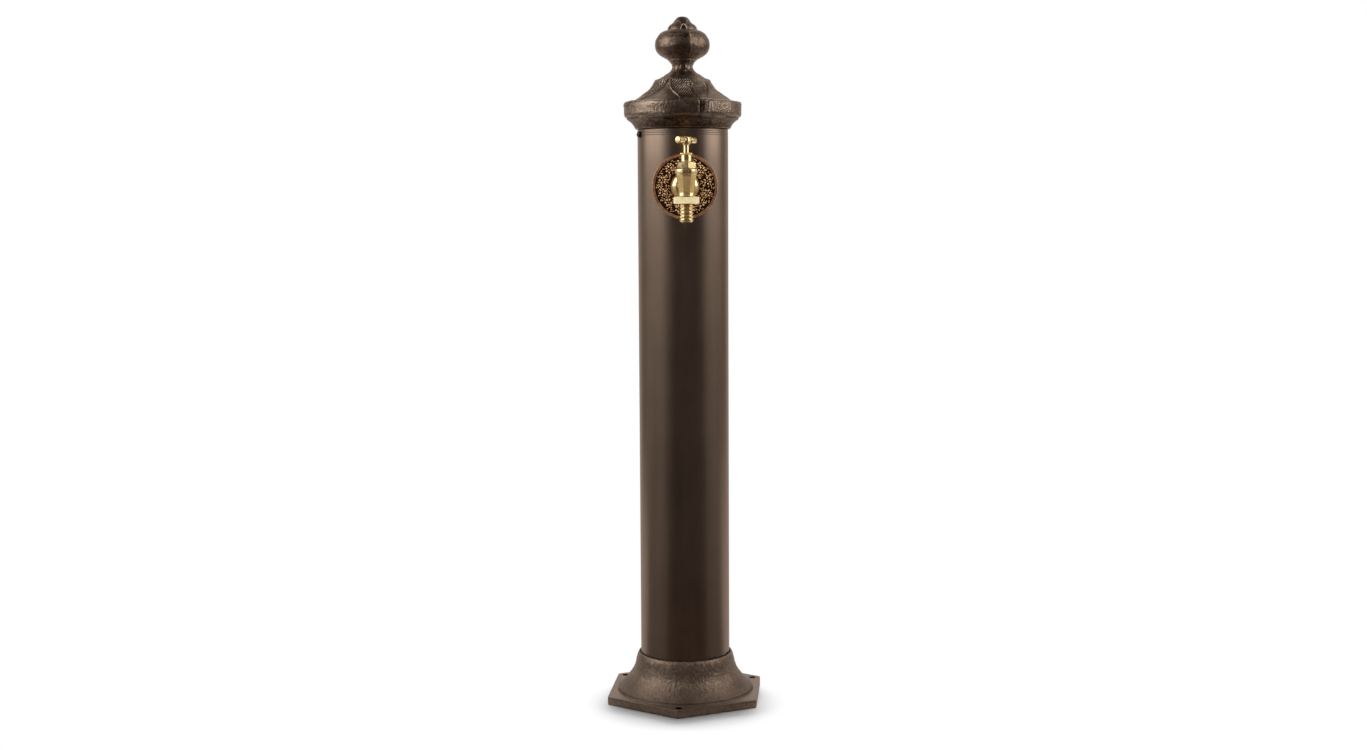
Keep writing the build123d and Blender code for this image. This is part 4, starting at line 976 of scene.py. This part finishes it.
def makeHandle():
    half = handle["length"] / 2
    start = half - handle["endLength"]
    end = handle["end"]
    upper = [(handle["waist"], start), (end - 0.5, start + 0.2), (end, start + 1.0), (end, half - 0.9),
             (end - 0.9, half), (0, half)]
    barSide = rounded([(radius, -height) for radius, height in upper[::-1]] + upper, 0.3)
    bar = placed(turned(barSide, 72), facingOut, spun(-handle["turn"], "Z"), moved(0, 0, handle["height"]))
    hub = handle["hub"]
    hubTop = handle["hubTop"]
    hubSide = rounded([(0, 741.0), (3.6, 741.0), (4.3, 741.9), (5.0, 743.0), (hub, 744.6), (hub, 749.4),
                       (4.7, 750.6), (3.6, hubTop), (0, hubTop)], 0.9)
    keepTurned("teeHandle", carved(bar, turned(hubSide, 72), "UNION"), "spindle", "handle_bar", 34)


def makeHandleScrew():
    dome = arcRun((3.4, 751.3), (0, 752.55), -0.28, 8)
    form = turned([(0, 741.5), (1.5, 741.5), (1.5, 751.0), (3.3, 751.0), (3.4, 751.1)] + dome, 56)
    slit = bmesh.new()
    matrix = moved(0, 0, 752.6) @ spun(25, "Z") @ Matrix.Diagonal((9, 0.75, 1.5, 1))
    bmesh.ops.create_cube(slit, size=1, matrix=matrix)
    keepTurned("handleScrew", carved(form, slit, "DIFFERENCE"), "spindle", "handle_screw", 30)


# Hose tail: five saw-tooth barbs under a collar
hose = {"gasket": 670.5, "flangeBottom": 668.5, "collarEnd": 666.0, "pitch": 4.44, "barbs": 5, "crest": 8.6,
        "root": 7.3, "land": 2.7, "bore": 5.5, "collar": 8.0, "flange": 12.2}


def makeHoseTail():
    bore = hose["bore"]
    root = hose["root"]
    crest = hose["crest"]
    points = [(bore, hose["gasket"]), (hose["flange"], hose["gasket"]), (hose["flange"], hose["flangeBottom"]),
              (hose["collar"], hose["flangeBottom"]), (hose["collar"], hose["collarEnd"] + 0.5)]
    for barb in range(hose["barbs"]):
        top = hose["collarEnd"] - barb * hose["pitch"]
        points += [(root, top), (root + 0.05, top - 0.35), (crest, top - 0.75), (crest, top - hose["land"])]
    end = hose["collarEnd"] - hose["barbs"] * hose["pitch"]
    points += [(root, end + 0.1), (root - 0.3, end), (bore + 0.3, end), (bore, end + 0.3)]
    keepTurned("hoseTail", turned(rounded(points, 0.28), 112), "hose_tail", "hose_tail", 45)


# Union nut: a deep diamond knurl between two plain lips
union = {"radius": 16.4, "bottom": 666.7, "top": 676.2, "bore": 13.28, "lipBore": 9.0, "lip": 1.8, "pitch": 1.3,
         "depth": 0.55, "rows": 40, "perTooth": 8}


def makeUnionNut():
    low = union["bottom"]
    high = union["top"]
    radius = union["radius"]
    bore = union["bore"]
    lipBore = union["lipBore"]
    sides = round(math.tau * radius / union["pitch"])
    rows = union["rows"]
    band = [(radius, low + 1.0 + (high - low - 2.0) * n / rows) for n in range(rows + 1)]
    profile = ([(lipBore, low), (radius - 0.9, low), (radius - 0.5, low + 0.15), (radius - 0.1, low + 0.6)] + band
               + [(radius - 0.1, high - 0.6), (radius - 0.5, high - 0.15), (radius - 0.9, high), (bore + 0.4, high),
                  (bore, high - 0.4), (bore, low + union["lip"]), (lipBore, low + union["lip"])])
    form = turned(profile, sides * union["perTooth"])
    note = form.verts.layers.float.new("relief")
    for vert in form.verts:
        if vert.co.xy.length < radius - 0.05:
            continue
        vert[note] = 1.0
        turns = math.atan2(vert.co.y, vert.co.x) * sides
        slope = (vert.co.z - low) * math.tau / union["pitch"]
        notched(vert, union["depth"], max(math.cos(turns + slope), math.cos(turns - slope)))
    keepTurned("unionNut", form, "union", "union_nut", 60)


for make in (makeFoot, makeSealant, makeTube, makeCap, makeFinial, makeCapScrews, makeRosette, makeFlange,
             makeTapBody, makeBonnet, makeGland, makeSpindle, makeHandle, makeHandleScrew, makeHoseTail,
             makeUnionNut):
    make()
    print(make.__name__, "done")


# What is inside keeps its CAD shape and takes its slot's finish
subparts = {part["node"]: part["material_slot"] for part in frame["record"]["subparts"]}
for node, slot in subparts.items():
    cadMesh = nodes[node].data
    cadMesh.materials.clear()
    cadMesh.materials.append(finishes[slot])
print("inner pieces finished")


# Studio: white paper and a white world, a softbox at each side, and dark cloth that the reflections see.
# Turns are degrees to the right of the camera, round the column; lengths are metres.
studio = {"floorSize": 14.0, "floorGap": 0.0002, "paper": 0.85, "fadeFrom": 0.102, "fadeTo": 0.138,
          "skyOnPaper": 1.18, "shadowAt": 0.038, "shelfReach": 0.026, "shelfHeight": 0.02,
          "boxes": (("leftBox", -80, 1.5, 1.5, 1.6, 1.4, 13.4), ("rightBox", 84, 1.5, 1.5, 1.1, 1.4, 9.2)),
          "boxTint": (1.0, 0.96, 0.93)}
inFront = (-43, 56)
atSides = ((-108, inFront[0]), (inFront[1], 108))

# each cloth's colour, and its strips as (reach, height) lines swept over one or more spans of turns
cloths = {
    "frontCloth": ((0.022, 0.01, 0.004), (((0.5, 0.002), (2.9, 0.002), (2.9, 0.5)), inFront),
                   (((2.9, 0.5), (2.9, 1.7)), (-41, 56))),
    "topCloth": ((0.19, 0.165, 0.15), (((2.9, 1.7), (2.9, 2.6), (1.3, 2.6)), inFront),
                 (((0.02, 2.6), (1.3, 2.6)), (-180, 180))),
    "nearCloth": ((0.09, 0.05, 0.03), (((0.13, 0.002), (0.5, 0.002)), inFront)),
    "sideFloor": ((0.2, 0.175, 0.16), (((0.13, 0.002), (1.7, 0.002)), *atSides)),
    "lowWall": ((0.28, 0.26, 0.245), (((1.7, 0.002), (1.7, 0.36)), (-136, -43), (56, 136))),
    "sideWall": ((0.42, 0.4, 0.38), (((1.7, 0.36), (1.7, 0.8)), *atSides)),
    "backWall": ((0.33, 0.31, 0.3), (((1.7, 0.36), (1.7, 2.6)), (-136, -108), (104, 136))),
}


def roundTheColumn(turn, reach, height):
    return Vector((*polar(reach, cameraTurn + turn), height))


def makeFloor():
    form = bmesh.new()
    bmesh.ops.create_grid(form, x_segments=4, y_segments=4, size=studio["floorSize"] / 2)
    floor = standing("studioFloor", form)
    floor.location.z = -studio["floorGap"]
    f = Finish("floorPaper")
    f.dress([studio["paper"]] * 3, 1.0, Specular_IOR_Level=0.0)
    x, y, z = f.axes()
    far = f.smooth(f.fromLine(x, y, roundTheColumn(0, studio["shadowAt"], 0)), studio["fadeFrom"], studio["fadeTo"])
    glow = f.node("ShaderNodeEmission", {}, {"Color": (1, 1, 1), "Strength": 1.0})
    both = f.node("ShaderNodeMixShader", {}, {0: far, 1: Signal(f, f.shader.outputs[0]), 2: glow})
    f.feed(f.tree.nodes["Material Output"].inputs["Surface"], both)
    floor.data.materials.append(f.material)


def makeShelf():
    # a thin shelf along the plate's front that only shades the floor, as the photo's shadow asks
    form = bmesh.new()
    forward = roundTheColumn(0, studio["shelfReach"], 0)
    corners = [Vector((*polar(foot["cornerRadius"] * mm, foot["frontCorner"] + turn), 0)) for turn in (-60, 0, 60)]
    inner = [form.verts.new(corner) for corner in corners]
    outer = [form.verts.new(corner + forward) for corner in corners]
    for first in (0, 1):
        form.faces.new((inner[first], inner[first + 1], outer[first + 1], outer[first]))
    shelf = standing("floorShelf", form)
    shelf.location.z = studio["shelfHeight"]
    shelf.visible_camera = False
    shelf.visible_glossy = False
    shelf.data.materials.append(finishes["black_sealant"])


def makeWorld():
    world = bpy.data.worlds.new("studioWorld")
    bpy.context.scene.world = world
    g = Graph(world)
    seen = g.node("ShaderNodeLightPath", {}, {}, "Is Camera Ray")
    rays = seen.socket.node.outputs
    for ray in ("Is Glossy Ray", "Is Transmission Ray"):
        seen = g.node("ShaderNodeMath", {"operation": "MAXIMUM"}, {0: seen, 1: Signal(g, rays[ray])})
    level = g.node("ShaderNodeMapRange", {}, {"Value": seen, "To Min": studio["skyOnPaper"], "To Max": 1.0})
    background = g.tree.nodes["Background"]
    g.feed(background.inputs["Color"], (1, 1, 1))
    g.feed(background.inputs["Strength"], level)


def makeLights():
    for name, turn, reach, height, width, tall, power in studio["boxes"]:
        lamp = bpy.data.lights.new(name, "AREA")
        lamp.shape = "RECTANGLE"
        lamp.size = width
        lamp.size_y = tall
        lamp.energy = power
        lamp.color = studio["boxTint"]
        box = added(name, lamp)
        box.location = roundTheColumn(turn, reach, height)
        box.rotation_euler = (Vector((0, 0, height)) - box.location).to_track_quat("-Z", "Y").to_euler()
        box.visible_camera = False
        box.visible_diffuse = False


def makeCloth(name, colour, *strips):
    form = bmesh.new()
    for line, *spans in strips:
        for start, end in spans:
            strip = bmesh.new()
            verts = [strip.verts.new(roundTheColumn(start, reach, height)) for reach, height in line]
            edges = [strip.edges.new(pair) for pair in zip(verts, verts[1:])]
            bmesh.ops.spin(strip, geom=verts + edges, cent=(0, 0, 0), axis=(0, 0, 1),
                           angle=math.radians(end - start), steps=24, use_merge=False, use_duplicate=False)
            joined(form, strip)
    cloth = standing(name, form)
    f = Finish(name)
    f.dress(colour, 1.0, Specular_IOR_Level=0.0)
    cloth.data.materials.append(f.material)
    cloth.visible_camera = False
    cloth.visible_diffuse = False
    cloth.visible_shadow = False


view = {"reach": 2.2709, "height": 0.6637, "pan": 0.0155, "down": 5.66, "roll": -0.283,
        "lens": 36 * 1700 / 1367}


def makeCamera():
    lens = bpy.data.cameras.new("photoView")
    lens.sensor_fit = "HORIZONTAL"
    lens.sensor_width = 36
    lens.lens = view["lens"]
    camera = added("photoView", lens)
    spot = moved(*roundTheColumn(0, view["reach"], view["height"]))
    camera.matrix_world = (spot @ spun(cameraTurn + 90 + view["pan"], "Z") @ spun(90 - view["down"], "X")
                           @ spun(view["roll"], "Z"))
    bpy.context.scene.camera = camera


makeFloor()
makeShelf()
makeWorld()
makeLights()
for name, cloth in cloths.items():
    makeCloth(name, *cloth)
makeCamera()
bpy.context.scene.view_settings.view_transform = "Standard"
print("studio ready")
